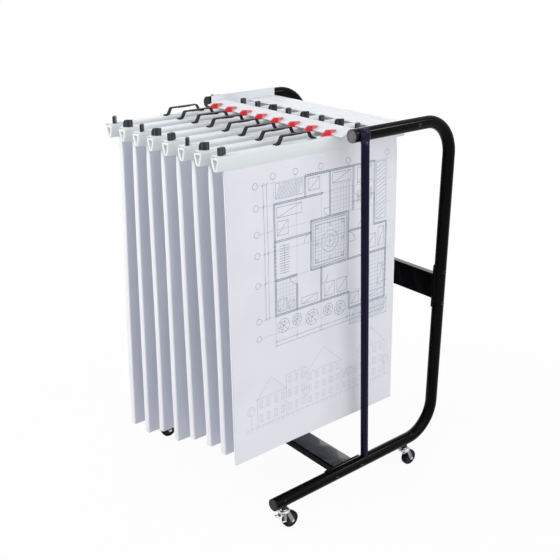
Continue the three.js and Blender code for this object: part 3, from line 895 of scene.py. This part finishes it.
class Bundle:
    """Where the two faces of one hanging stack are."""

    def __init__(self, clamp):
        self.clamp = clamp
        self.low, self.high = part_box(f"{clamp.name}_sheets")
        self.jaws = clamp.low.z
        self.drop = self.jaws - self.low.z
        self.swing = hem_swings[clamp.number - 1]
        self.length = sheet_lengths[clamp.number - 1]
        self.phase = stack_phase * clamp.number
        self.askew = int(clamp.number < clamp_count)
        self.share = 1 if self.askew else front_stack_share

    def front(self, z):
        hung = max(0, self.jaws - z) / self.drop
        return self.low.y + self.askew * (skew_top + (skew_hem - skew_top) * hung)

    def thickness(self, z):
        fall = self.jaws - z
        if fall <= 0:
            return stack_gripped
        loosened = min(1, fall / stack_loosens)
        ease = loosened * (2 - loosened)
        below_jaws = stack_gripped + (stack_loose - stack_gripped) * ease
        return below_jaws + (stack_hem - stack_loose) * fall / self.drop

    def middle(self, y, z):
        fall = max(0, self.jaws - z)
        share = fall / self.drop
        bow = bow_depth * math.sin(bow_wave * fall + self.phase) * min(1, 4 * share)
        wave = ripple_wave * (y - self.low.y) + ripple_fall * fall + ripple_phase * self.phase
        return self.clamp.x + self.swing * share + bow + ripple_depth * math.sin(wave) * share

    def face(self, y, z):
        return self.middle(y, z) + self.thickness(z) / 2


def scatter(*numbers):
    """A steady scatter from 0 to 1."""
    wave = math.sin(sum(number * weight for number, weight in zip(numbers, (12.9898, 78.233, 37.719))))
    return (wave * 43758.5453) % 1


def stack(bundle):
    bm = bmesh.new()
    bmesh.ops.create_grid(bm, x_segments=30, y_segments=44, size=0.5)
    push(bm, bm.faces[:], (0, 0, 1))
    split_along(bm, 2, stack_leaves)
    for vert in bm.verts:
        leaf = round(vert.co.z * stack_leaves)
        wide = vert.co.x + 0.5
        tall = vert.co.y + 0.5
        z = bundle.low.z + (bundle.high.z - bundle.low.z) * tall
        y = bundle.front(z) + sheet_width * wide
        inner = 0 < leaf < stack_leaves
        depth = leaf_step * scatter(leaf, bundle.clamp.number, 1) if inner and leaf % 2 else 0
        rounded = edge_round * bundle.share * (1 - math.sqrt(1 - vert.co.z**2))
        if wide < 0.001:
            y += depth + rounded * min(1, (bundle.high.z - z) / stack_loosens)
        if wide > 0.999:
            y -= depth
        if tall < 0.001:
            z += depth
        x = bundle.face(y, z) - bundle.share * bundle.thickness(z) * (1 - vert.co.z)
        vert.co = (x, y, z)
    faced_out(bm)
    for face in bm.faces:
        # The faces across the stack take the painted-shade paper, and the edges take the white edge paper.
        face.material_index = int(abs(face.normal.x) < 0.7)
    return bm


def paper_finish(name, color, darkest, *grain):
    """Paper that is a little darker in patches of one grain."""
    paper = Finish(name, color, 0.88, shine=0.2)
    paper.darken(paper.ramp(paper.noise(*grain), 0.3, 0.7), darkest)
    paper.relief(paper.noise(900, 4), 0.00003)
    return paper


def hung_sheet(name, bm, finishes, bundle, *nodes):
    """A piece of paper that hangs in the jaws of a bundle's clamp."""
    clamp_name = bundle.clamp.name
    made = piece(name, bm, finishes, clamp_name, "paper", *nodes)


# The stacks' faces are painted lavender grey and streaked up and down: painted shade of the gaps between
# the stacks and of the sheets' waves.
bundle_paper = paper_finish("bundle_paper", tint(232, 234, 243), 0.94, 20, 3, (1, 1, 0.15))
edge_paper = paper_finish("bundle_edge_paper", tint(249, 249, 252), 0.88, 1500, 1, (1, 0.01, 0.01))
bundles = [Bundle(clamp) for clamp in clamps]
for bundle in bundles:
    name = f"{bundle.clamp.name}_bundle"
    hung_sheet(name, stack(bundle), [bundle_paper, edge_paper], bundle, f"{bundle.clamp.name}_sheets")

# Front sheet: the outermost sheet of the right-hand bundle, white drawing paper.
# It lies a little off the bundle and follows its bow.
front_bundle = bundles[-1]
front_sheet_gap = 0.0006
front_sheet_thickness = 0.00025
jaw_gap = 0.0005
sheet_foot = front_bundle.low.z
sheet_height = front_bundle.jaws - jaw_gap - sheet_foot


def on_sheet(across, up, lift=0):
    """The place on the front sheet at a distance from its front edge and from its hem."""
    y = front_bundle.low.y + across
    z = sheet_foot + up
    return (front_bundle.face(y, z) + front_sheet_gap + lift, y, z)


leaf = bmesh.new()
bmesh.ops.create_grid(leaf, x_segments=60, y_segments=84, size=0.5)
for vert in leaf.verts:
    vert.co = on_sheet(sheet_width * (vert.co.x + 0.5), sheet_height * (vert.co.y + 0.5))
plated(leaf, Vector((1, 0, 0)), front_sheet_thickness)
front_paper = paper_finish("front_sheet_paper", tint(244, 244, 248), 0.955, 6, 2)
hung_sheet("front_plan_sheet", leaf, [front_paper], front_bundle)

# Plan drawing: plotted ink on the front sheet, a made-up courtyard house above a faint street elevation.
# Places are metres across the sheet from its front edge and up from its hem, and the lines follow its bow.
wall_ink = 0.0013
wall_half = 0.0019
thin_ink = 0.0009
faint_ink = 0.0008
plan_fit = (1.20, -0.115, -0.165)
setting_out_u = (0.215, 0.275, 0.345, 0.425, 0.47, 0.545)
setting_out_v = (0.415, 0.455, 0.535, 0.60, 0.645, 0.70, 0.745)
tick = 0.003
ink_step = 0.02
ink_lift = 0.00008
ink_thickness = 0.00006


class Drawing:
    """Flat ink strokes of one colour, bent onto the sheet when it is done."""

    def __init__(self, width):
        self.bm = bmesh.new()
        self.width = width
        self.fit(1, 0, 0)

    def fit(self, scale, u, v):
        """Sets the scale and the place of what is drawn next."""
        self.scale = scale
        self.shift = Vector((u, v, 0))

    def spot(self, u, v):
        return self.scale * Vector((u, v, 0)) + self.shift

    def line(self, u1, v1, u2, v2, aside=0):
        start = self.spot(u1, v1)
        run = self.spot(u2, v2) - start
        turn = Matrix.Rotation(math.atan2(run.y, run.x), 4, "Z")
        stretch = Matrix.Diagonal((run.length + self.width, self.width, 1, 1))
        place = Matrix.Translation(start + run / 2) @ turn @ Matrix.Translation((0, aside, 0)) @ stretch
        steps = max(1, math.ceil(run.length / ink_step))
        bmesh.ops.create_grid(self.bm, x_segments=steps, y_segments=1, size=0.5, matrix=place)

    def spoke(self, u, v, radius, degrees):
        turn = math.radians(degrees)
        self.line(u, v, u + radius * math.cos(turn), v + radius * math.sin(turn))

    def path(self, *points, asides=(0,)):
        for start, end in zip(points, points[1:]):
            for aside in asides:
                self.line(*start, *end, aside)

    def wall(self, *points):
        """A wall between two ink lines."""
        self.path(*points, asides=(-wall_half, wall_half))

    def box(self, u1, v1, u2, v2):
        self.path((u1, v1), (u2, v1), (u2, v2), (u1, v2), (u1, v1))

    def arc(self, u, v, radius, start=0, sweep=360):
        turn = Vector((math.cos(math.radians(start)), math.sin(math.radians(start)), 0))
        middle = self.spot(u, v)
        reach = self.scale * radius
        ends = [self.bm.verts.new(middle + turn * (reach + side * self.width / 2)) for side in (-1, 1)]
        steps = max(4, round(sweep / 15))
        spin(self.bm, ends + [self.bm.edges.new(ends)], middle, (0, 0, 1), math.radians(sweep), steps)

    def row(self, count, u1, v1, u2, v2, du, dv):
        """Short strokes of one run, set out evenly between two places."""
        for step in range(count):
            share = step / (count - 1)
            u = u1 + (u2 - u1) * share
            v = v1 + (v2 - v1) * share
            self.line(u, v, u + du, v + dv)

    def tiles(self, u1, v1, u2, v2, columns, rows):
        self.row(columns + 1, u1, v1, u2, v1, 0, v2 - v1)
        self.row(rows + 1, u1, v1, u1, v2, u2 - u1, 0)

    def tree(self, u, v, radius):
        self.arc(u, v, radius)
        self.arc(u, v, 0.6 * radius, 30, 240)
        for branch in range(6):
            self.spoke(u, v, radius, 60 * branch + 15)

    def dimension(self, *stops):
        """A line with a slanting tick at every stop."""
        self.line(*stops[0], *stops[-1])
        for u, v in stops:
            self.line(u - tick, v - tick, u + tick, v + tick)

    def finish(self, name, color):
        faced_out(self.bm)
        for face in self.bm.faces:
            if face.normal.z < 0:
                face.normal_flip()
        for vert in self.bm.verts:
            vert.co = on_sheet(vert.co.x, vert.co.y, ink_lift)
        bmesh.ops.solidify(self.bm, geom=self.bm.faces[:], thickness=ink_thickness)
        ink = Finish(f"{name}_ink", color, 0.8, shine=0.2)
        patchy = ink.ramp(ink.noise(60, 2), 0.35, 0.8)
        ink.vary_color(patchy * 0.35, color, [0.4 * part + 0.6 for part in color[:3]] + [1.0])
        piece(name, self.bm, [ink], front_bundle.clamp.name, "paper")


walls = Drawing(wall_ink)
rooms = Drawing(thin_ink)
guides = Drawing(faint_ink)
for drawing in (walls, rooms, guides):
    drawing.fit(*plan_fit)

# Outer walls step back twice; the court in the middle is open to the sky
house = ((0.215, 0.455), (0.43, 0.455), (0.43, 0.415), (0.545, 0.415), (0.545, 0.60), (0.505, 0.60))
house += ((0.505, 0.745), (0.30, 0.745), (0.30, 0.70), (0.215, 0.70), (0.215, 0.455))
walls.wall(*house)
walls.wall((0.315, 0.535), (0.425, 0.535), (0.425, 0.645), (0.315, 0.645), (0.315, 0.535))
for start, end in (
    ((0.215, 0.535), (0.275, 0.535)),
    ((0.215, 0.62), (0.315, 0.62)),
    ((0.275, 0.455), (0.275, 0.515)),
    ((0.345, 0.455), (0.345, 0.535)),
    ((0.425, 0.60), (0.475, 0.60)),
    ((0.425, 0.535), (0.545, 0.535)),
    ((0.47, 0.415), (0.47, 0.505)),
    ((0.37, 0.645), (0.37, 0.745)),
    ((0.30, 0.70), (0.35, 0.70)),
    ((0.44, 0.645), (0.44, 0.745)),
):
    walls.wall(start, end)

# Paved floors, hatched garden beds and trees round the house
guides.tiles(0.218, 0.458, 0.272, 0.532, 6, 8)
guides.tiles(0.373, 0.648, 0.437, 0.712, 7, 7)
guides.tiles(0.474, 0.418, 0.542, 0.532, 7, 12)
guides.tiles(0.320, 0.540, 0.420, 0.640, 12, 12)
rooms.row(22, 0.435, 0.375, 0.540, 0.375, 0.012, 0.034)
rooms.box(0.433, 0.373, 0.553, 0.411)
rooms.row(16, 0.222, 0.712, 0.282, 0.712, 0.010, 0.028)
rooms.box(0.220, 0.710, 0.294, 0.742)
rooms.row(14, 0.513, 0.612, 0.513, 0.728, 0.026, 0.012)
rooms.box(0.511, 0.610, 0.541, 0.742)
for u, v, radius in (
    (0.236, 0.428, 0.016),
    (0.274, 0.432, 0.013),
    (0.318, 0.425, 0.018),
    (0.366, 0.430, 0.014),
    (0.402, 0.424, 0.017),
):
    rooms.tree(u, v, radius)

# Doors swing open on quarter arcs, stairs climb in treads and columns stand in the court
for u, v, radius, start in (
    (0.275, 0.535, 0.020, 180),
    (0.345, 0.515, 0.020, 270),
    (0.315, 0.60, 0.020, 90),
    (0.425, 0.575, 0.022, 0),
    (0.475, 0.60, 0.020, 90),
    (0.47, 0.505, 0.018, 0),
    (0.37, 0.665, 0.018, 180),
    (0.44, 0.665, 0.018, 0),
    (0.505, 0.655, 0.018, 90),
):
    rooms.arc(u, v, radius, start, 90)
    rooms.spoke(u, v, radius, start)
rooms.row(12, 0.228, 0.548, 0.228, 0.608, 0.026, 0)
rooms.line(0.241, 0.546, 0.241, 0.61)
rooms.row(11, 0.452, 0.66, 0.496, 0.66, 0, 0.028)
rooms.line(0.45, 0.674, 0.50, 0.674)
for u in (0.332, 0.37, 0.408):
    for v in (0.552, 0.59, 0.628):
        rooms.box(u - 0.003, v - 0.003, u + 0.003, v + 0.003)
rooms.arc(0.37, 0.59, 0.024)
rooms.arc(0.37, 0.59, 0.014)
for inset in (0.006, 0.012):
    rooms.box(0.315 + inset, 0.535 + inset, 0.425 - inset, 0.645 - inset)
for u1, v1, u2, v2 in (
    (0.222, 0.463, 0.246, 0.490),
    (0.250, 0.463, 0.268, 0.480),
    (0.288, 0.463, 0.334, 0.478),
    (0.355, 0.463, 0.385, 0.495),
    (0.392, 0.463, 0.422, 0.495),
    (0.436, 0.424, 0.462, 0.450),
    (0.480, 0.424, 0.538, 0.440),
    (0.520, 0.450, 0.538, 0.500),
    (0.480, 0.546, 0.512, 0.578),
    (0.520, 0.546, 0.538, 0.590),
    (0.222, 0.632, 0.252, 0.662),
    (0.222, 0.670, 0.290, 0.692),
    (0.310, 0.712, 0.340, 0.738),
    (0.378, 0.716, 0.432, 0.738),
    (0.452, 0.705, 0.496, 0.738),
):
    rooms.box(u1, v1, u2, v2)
    rooms.line(u1, v1, u2, v2)
rooms.row(9, 0.345, 0.4515, 0.425, 0.4515, 0, 0.007)
rooms.row(8, 0.5415, 0.43, 0.5415, 0.52, 0.007, 0)
rooms.row(9, 0.31, 0.7415, 0.36, 0.7415, 0, 0.007)
rooms.row(8, 0.2115, 0.55, 0.2115, 0.61, 0.007, 0)

# Setting-out lines end in rings, and dimension lines with slanting ticks run beside the house
for u in setting_out_u:
    guides.line(u, 0.385, u, 0.752)
    rooms.arc(u, 0.7585, 0.0065)
for v in setting_out_v:
    guides.line(0.175, v, 0.560, v)
    rooms.arc(0.1685, v, 0.0065)
for v, stops in ((0.395, setting_out_u), (0.385, (0.215, 0.345, 0.545))):
    rooms.dimension(*((u, v) for u in stops))
for u, stops in ((0.188, (0.455, 0.535, 0.60, 0.70, 0.745)), (0.197, (0.455, 0.60, 0.745))):
    rooms.dimension(*((u, v) for v in stops))

# The street elevation below: ground, roofs, gables and rows of windows
guides.fit(1, 0, 0)
ground = 0.085
guides.line(0.04, ground, 0.56, ground)
guides.row(30, 0.045, ground, 0.55, ground, -0.008, -0.010)
for u1, u2, eaves, ridge, storeys, bays in (
    (0.075, 0.175, 0.165, 0.215, 2, 4),
    (0.175, 0.245, 0.205, 0.205, 3, 3),
    (0.245, 0.375, 0.185, 0.245, 3, 5),
    (0.375, 0.435, 0.150, 0.150, 2, 3),
    (0.435, 0.545, 0.195, 0.250, 3, 4),
):
    guides.path((u1, ground), (u1, eaves), ((u1 + u2) / 2, ridge), (u2, eaves), (u2, ground))
    guides.line(u1 - 0.004, eaves, u2 + 0.004, eaves)
    bay = (u2 - u1) / bays
    storey = (eaves - ground) / storeys
    for level in range(storeys):
        sill = ground + storey * (level + 0.3)
        for column in range(bays):
            left = u1 + bay * (column + 0.28)
            guides.box(left, sill, left + 0.44 * bay, sill + 0.5 * storey)
            guides.line(left + 0.22 * bay, sill, left + 0.22 * bay, sill + 0.5 * storey)
for u, height in ((0.055, 0.04), (0.245, 0.035), (0.405, 0.045), (0.549, 0.035)):
    guides.line(u, ground, u, ground + height)
    guides.arc(u, ground + height + 0.012, 0.013)
    guides.arc(u, ground + height + 0.012, 0.008, 30, 240)

guides.finish("plan_guides", tint(182, 193, 210))
rooms.finish("plan_rooms", tint(104, 125, 163))
walls.finish("plan_walls", tint(56, 79, 126))

# Casters: a zinc plated fork that swivels under a ringed dish, on a stem pushed up into the bottom arm.
# A black collar covers the stem, and a hexagon bolt through the dull fork legs carries the wheel.
axle_height = 0.023795
caster_trail = 0.022
crown_base = 0.052795
dish_base = 0.055795
dish_top = 0.065795
collar_top = 0.0762
leg_inside = 0.011
leg_sheet = 0.0025
leg_outside = leg_inside + leg_sheet
leg_front = 0.002
fork_half_length = 0.013
fork_boss = 0.006
bail_lead = 0.004
bail_height = axle_height + 0.0132
bail_ear = 0.005
axle_head = 0.0024
axle_head_radius = 0.0052
axle_head_top = 0.0048
axle_end_profile = ((0, 0.0021), (0.0022, 0.0019), (0.0028, 0.0012), (0.0028, -0.001), (0, -0.001))
dish_profile = (
    (0, dish_base - 0.0015),
    (0.0110, dish_base - 0.0015),
    (0.0150, dish_base + 0.0010),
    (0.0166, dish_base + 0.0030),
    (0.0170, dish_base + 0.0042),
    (0.0163, dish_base + 0.0050),
    (0.0170, dish_base + 0.0060),
    (0.0166, dish_base + 0.0078),
    (0.0150, dish_top - 0.0006),
    (0.0128, dish_top),
    (0.0118, dish_top - 0.0014),
    (0.0104, dish_top - 0.0012),
    (0.0092, dish_top + 0.0002),
    (0, dish_top + 0.0002),
)
collar_profile = (
    (0, dish_top),
    (0.0082, dish_top),
    (0.0090, dish_top + 0.0008),
    (0.0090, dish_top + 0.0040),
    (0.0078, dish_top + 0.0052),
    (0.0078, dish_top + 0.0072),
    (0.0090, dish_top + 0.0080),
    (0.0090, collar_top),
    (0, collar_top),
)


class Caster:
    """One caster's name, the places of its stem and its wheel, and whether it has a brake."""

    def __init__(self, end, side_name, side):
        self.name = f"caster_{end}_{side_name}"
        low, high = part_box(f"{self.name}_wheel")
        self.x = side * arm_x
        self.wheel_y = (low.y + high.y) / 2
        self.stem_y = self.wheel_y - caster_trail
        self.braked = end == "front"


def leg_outline(braked):
    """A fork leg in Y and Z from the stem: narrow from the crown's back to the round axle end."""
    points = [(fork_half_length, dish_base)]
    if braked:
        ear_front = -bail_lead - bail_ear
        ear_back = -bail_lead + bail_ear
        points += [(ear_front, dish_base), (ear_front, bail_height), (-bail_lead, bail_height - bail_ear)]
        points += [(ear_back, bail_height), (ear_back, crown_base)]
    points.append((leg_front, crown_base))
    for degrees in range(200, 361, 20):
        turn = math.radians(degrees)
        points.append((caster_trail + fork_boss * math.cos(turn), axle_height + fork_boss * math.sin(turn)))
    return points


def axle_bolt(side):
    bm = bmesh.new()
    taper = {"radius1": axle_head_radius, "radius2": axle_head_top, "depth": axle_head}
    bmesh.ops.create_cone(bm, cap_ends=True, segments=6, **taper)
    merge(bm, turned(axle_end_profile, 16))
    place = Matrix.Translation((side * (leg_outside + axle_head / 2), caster_trail, axle_height))
    return moved(bm, place @ Matrix.Rotation(side * math.pi / 2, 4, "Y"))


def zinc_finish(name, color, roughness):
    zinc = Finish(name, color, roughness, Metallic=1.0)
    zinc.darken(zinc.noise(160, 3), 0.72)
    zinc.vary_roughness(zinc.noise(420, 2), 0.2)
    zinc.relief(zinc.noise(700, 2), 0.00003)
    return zinc


bright_zinc = zinc_finish("bright_zinc", tint(205, 208, 212), 0.26)
dull_zinc = zinc_finish("dull_zinc", tint(150, 152, 156), 0.34)
collar_black = moulded_plastic("collar_black_plastic", tint(22, 22, 24), 0.4, 800, 0.00005)
casters = [Caster(end, *side) for end in ("front", "rear") for side in sides]
for caster in casters:
    crown_low = Vector((-leg_outside, -fork_half_length, crown_base))
    housing = slab(crown_low, Vector((leg_outside, fork_half_length, dish_base)))
    for left, right in ((-leg_outside, -leg_inside), (leg_inside, leg_outside)):
        merge(housing, cut_from_sheet(leg_outline(caster.braked), left, right))
    merge(housing, turned(dish_profile, 40))
    for side_name, side in sides:
        merge(housing, axle_bolt(side))
    for face in housing.faces:
        middle = face.calc_center_median()
        on_bolt = abs(middle.x) > leg_outside + 0.0001
        face.material_index = int(middle.z < crown_base and not on_bolt)
    stem = Matrix.Translation((caster.x, caster.stem_y, 0))
    swivel = f"{caster.name}_swivel"
    finishes = [bright_zinc, dull_zinc]
    name = f"{caster.name}_housing"
    soften(piece(name, moved(housing, stem), finishes, swivel, "zinc", f"{caster.name}_fork"), 0.0005)
    collar = moved(turned(collar_profile, 32), stem)
    piece(f"{caster.name}_collar", collar, [collar_black], swivel, "knob_black")

# Wheels: a hard black tread moulded round a dark plastic hub, running on the bolt.
# A shallow dish in each side of the hub lies between a raised ring round the bolt and the tread's shoulder.
wheel_radius = 0.024
wheel_half = 0.010
tread_start = 0.0170
half_profile = (
    (0.0034, wheel_half),
    (0.0075, wheel_half),
    (0.0088, 0.0088),
    (0.0165, 0.0082),
    (0.0172, 0.0096),
    (0.0196, wheel_half),
    (0.0218, 0.0088),
    (0.0234, 0.0064),
    (wheel_radius, 0.0034),
)
other_half = [(radius, -along) for radius, along in reversed(half_profile)]
wheel_profile = (*half_profile, *other_half, half_profile[0])
tyre_black = moulded_plastic("tread_black_rubber", tint(9, 9, 10), 0.34, 600, 0.00004, shine=0.08)
hub_black = moulded_plastic("hub_dark_plastic", tint(20, 20, 22), 0.34, 900, 0.00004, shine=0.15)
on_axle = Matrix.Rotation(math.pi / 2, 4, "Y")
for caster in casters:
    wheel = turned(wheel_profile, 56)
    for face in wheel.faces:
        face.material_index = int(face.calc_center_median().xy.length < tread_start)
    moved(wheel, Matrix.Translation((caster.x, caster.wheel_y, axle_height)) @ on_axle)
    name = f"{caster.name}_tread"
    piece(name, wheel, [tyre_black, hub_black], f"{caster.name}_roller", "tyre", f"{caster.name}_wheel")

# Brake bails: zinc plated spring wire whose ends turn in the ears of the front forks.
# A foot presses the loop down to lock the wheel.
wire_zinc = zinc_finish("pale_zinc_wire", tint(236, 238, 241), 0.3)
bail_wire = 0.0016
bail_bend = 0.0035
bail_reach = 0.015
bail_lift = 0.003
bail_pin = leg_inside - 0.002
bail_side = leg_outside + 0.0045
for caster in casters:
    if not caster.braked:
        continue
    back = caster.stem_y - bail_lead
    half_route = (
        (bail_pin, back, bail_height),
        (bail_side, back, bail_height),
        (bail_side, back - bail_reach, bail_height + bail_lift),
    )
    route = [(caster.x + across, y, z) for across, y, z in half_route]
    route += [(caster.x - across, y, z) for across, y, z in reversed(half_route)]
    wire = bent_bar(route, bail_wire, bail_bend, 14, 6)
    bail = f"{caster.name}_bail"
    piece(f"{bail}_wire", wire, [wire_zinc], bail, "zinc", f"{caster.name}_brake")

# Bolts: black button heads with a hexagon socket, through the tubes into the saddles, cheeks and struts.
# A smaller screw in each bottom arm holds the front caster's stem.
bolt_profile = (
    (0, 0.0004),
    (0.0020, 0.0004),
    (0.0022, 0.0026),
    (0.0036, 0.0024),
    (0.0050, 0.0014),
    (0.0056, 0.0004),
    (0.0058, -0.0010),
    (0, -0.0010),
)
saddle_bolt_spread = 0.049
cheek_bolt_y = 0.2183
stem_screw_y = -0.2360
stem_screw_turn = math.radians(29)
stem_screw_size = 0.55
strut_bolt_y = strut_lead + 0.0024
strut_bolt_turn = math.radians(36)
strut_bolt_seat = 2 * strut_flat_half + strut_seat
bolt_black = gloss_paint("bolt_black_oxide", tint(20, 20, 22), 0.3, shine=0.3)
for side_name, side in sides:
    outward = Matrix.Rotation(side * math.pi / 2, 4, "Y")
    surface = side * (arm_x + tube_radius)
    places = [Vector((surface, cheek_bolt_y, top_arm_z))]
    for along in (-saddle_bolt_spread, saddle_bolt_spread):
        places.append(Vector((surface, lower_beam_place.y + along, bottom_arm_z)))
        places.append(Vector((surface, upright_y, rear_beam_place.z + along)))
    bolts = bmesh.new()
    for place in places:
        merge(bolts, turned(bolt_profile, 24), Matrix.Translation(place) @ outward)
    for turn, size, along, height, seat in (
        (stem_screw_turn, stem_screw_size, stem_screw_y, bottom_arm_z, 0),
        (strut_bolt_turn, 1, strut_bolt_y, top_arm_z, strut_bolt_seat),
    ):
        arm = Matrix.Translation((side * arm_x, along, height))
        lean = Matrix.Rotation(side * (math.pi / 2 - turn), 4, "Y")
        out = Matrix.Translation((0, 0, tube_radius + seat)) @ Matrix.Scale(size, 4)
        merge(bolts, turned(bolt_profile, 24), arm @ lean @ out)
    piece(f"bolts_{side_name}", bolts, [bolt_black], "frame", "knob_black")

# Studio: a white floor, soft boxes in front, to the right, behind and above, and a pale sky.
# A small lamp high at the right rear draws the fine line of light along the arms.
# The floor is plain white well away from the rack and keeps the rack's shadow near it.
floor_half = 12.0
floor_shadow_from = 0.9
floor_shadow_to = 1.9
floor_glow = 0.955
sky_color = (0.90, 0.93, 1.0, 1.0)
sky_strength = 0.42


def seen_rays(nodes):
    """1 for rays from the camera, off gloss and through glass, and 0 for the rest."""
    camera = nodes.node("ShaderNodeLightPath", {}, {}, "Is Camera Ray")
    gloss = nodes.node("ShaderNodeLightPath", {}, {}, "Is Glossy Ray")
    return camera + gloss + nodes.node("ShaderNodeLightPath", {}, {}, "Is Transmission Ray")


def show_mixed(nodes, share, lit, shown, end):
    """Shows one shader to a share of the rays and another to the rest."""
    mixed = nodes.node("ShaderNodeMixShader", {}, {0: share, 1: lit, 2: shown})
    nodes.feed(nodes.tree.nodes[end].inputs["Surface"], mixed)


floor_paint = Finish("floor_white", (0.78, 0.78, 0.78, 1.0), 0.9, shine=0.0)
away = floor_paint.node("ShaderNodeVectorMath", {"operation": "LENGTH"}, {0: floor_paint.place()}, "Value")
plain = floor_paint.ramp(away, floor_shadow_from, floor_shadow_to)
floor_share = seen_rays(floor_paint) * (plain * (1 - floor_glow) + floor_glow)
floor_lit = Value(floor_paint, floor_paint.shader.outputs[0])
floor_shown = floor_paint.node("ShaderNodeEmission", {}, {})
show_mixed(floor_paint, floor_share, floor_lit, floor_shown, "Material Output")
floor_grid = bmesh.new()
bmesh.ops.create_grid(floor_grid, x_segments=1, y_segments=1, size=floor_half)
mesh_object("studio_floor", floor_grid, [floor_paint])

world = bpy.data.worlds.new("pale_sky")
world.use_nodes = True
sky = Nodes(world.node_tree)
sky_lit = sky.node("ShaderNodeBackground", {}, {"Color": sky_color, "Strength": sky_strength})
sky_shown = sky.node("ShaderNodeBackground", {}, {"Color": (1, 1, 1, 1)})
show_mixed(sky, seen_rays(sky), sky_lit, sky_shown, "World Output")
bpy.context.scene.world = world


def soft_box(name, place, aim, width, height, watts, color=(1.0, 1.0, 1.0)):
    lamp = bpy.data.lights.new(name, "AREA")
    lamp.shape = "RECTANGLE"
    lamp.size = width
    lamp.size_y = height
    lamp.energy = watts
    lamp.color = color
    made = placed(name, lamp)
    made.location = place
    made.rotation_euler = (Vector(aim) - Vector(place)).to_track_quat("-Z", "Y").to_euler()


soft_box("front_soft_box", (-1.4, -2.9, 2.4), (0, 0, 0.6), 2.0, 1.6, 74, (1.0, 0.99, 0.97))
soft_box("right_soft_box", (3.2, 0.6, 1.8), (0, 0, 0.6), 4.0, 2.4, 41)
soft_box("back_soft_box", (-2.2, 2.2, 0.8), (0, 0, 0.1), 3.0, 1.3, 34)
soft_box("high_soft_box", (1.0, -0.9, 3.8), (0, 0, 0.8), 1.8, 1.8, 13)
soft_box("shine_soft_box", (1.6, 2.1, 2.6), (0, 0, 0.6), 0.45, 0.45, 11)

# Camera: the photograph's viewpoint, looking down on the rack from its front right.
# It stands upright, and its place and focal length were worked out from the rack's straight edges.
photo_width = 560
sensor_width = 36.0
focal_pixels = 872.88
camera_azimuth = math.radians(50.155)
camera_tilt = math.radians(21.531)
camera_place = (1.8296, -1.51385, 1.5239)
camera_data = bpy.data.cameras.new("photo_camera")
camera_data.sensor_width = sensor_width
camera_data.lens = focal_pixels * sensor_width / photo_width
camera = placed("photo_camera", camera_data)
camera.location = camera_place
camera.rotation_euler = (math.pi / 2 - camera_tilt, 0, camera_azimuth)
bpy.context.scene.camera = camera
bpy.context.scene.view_settings.view_transform = "Standard"
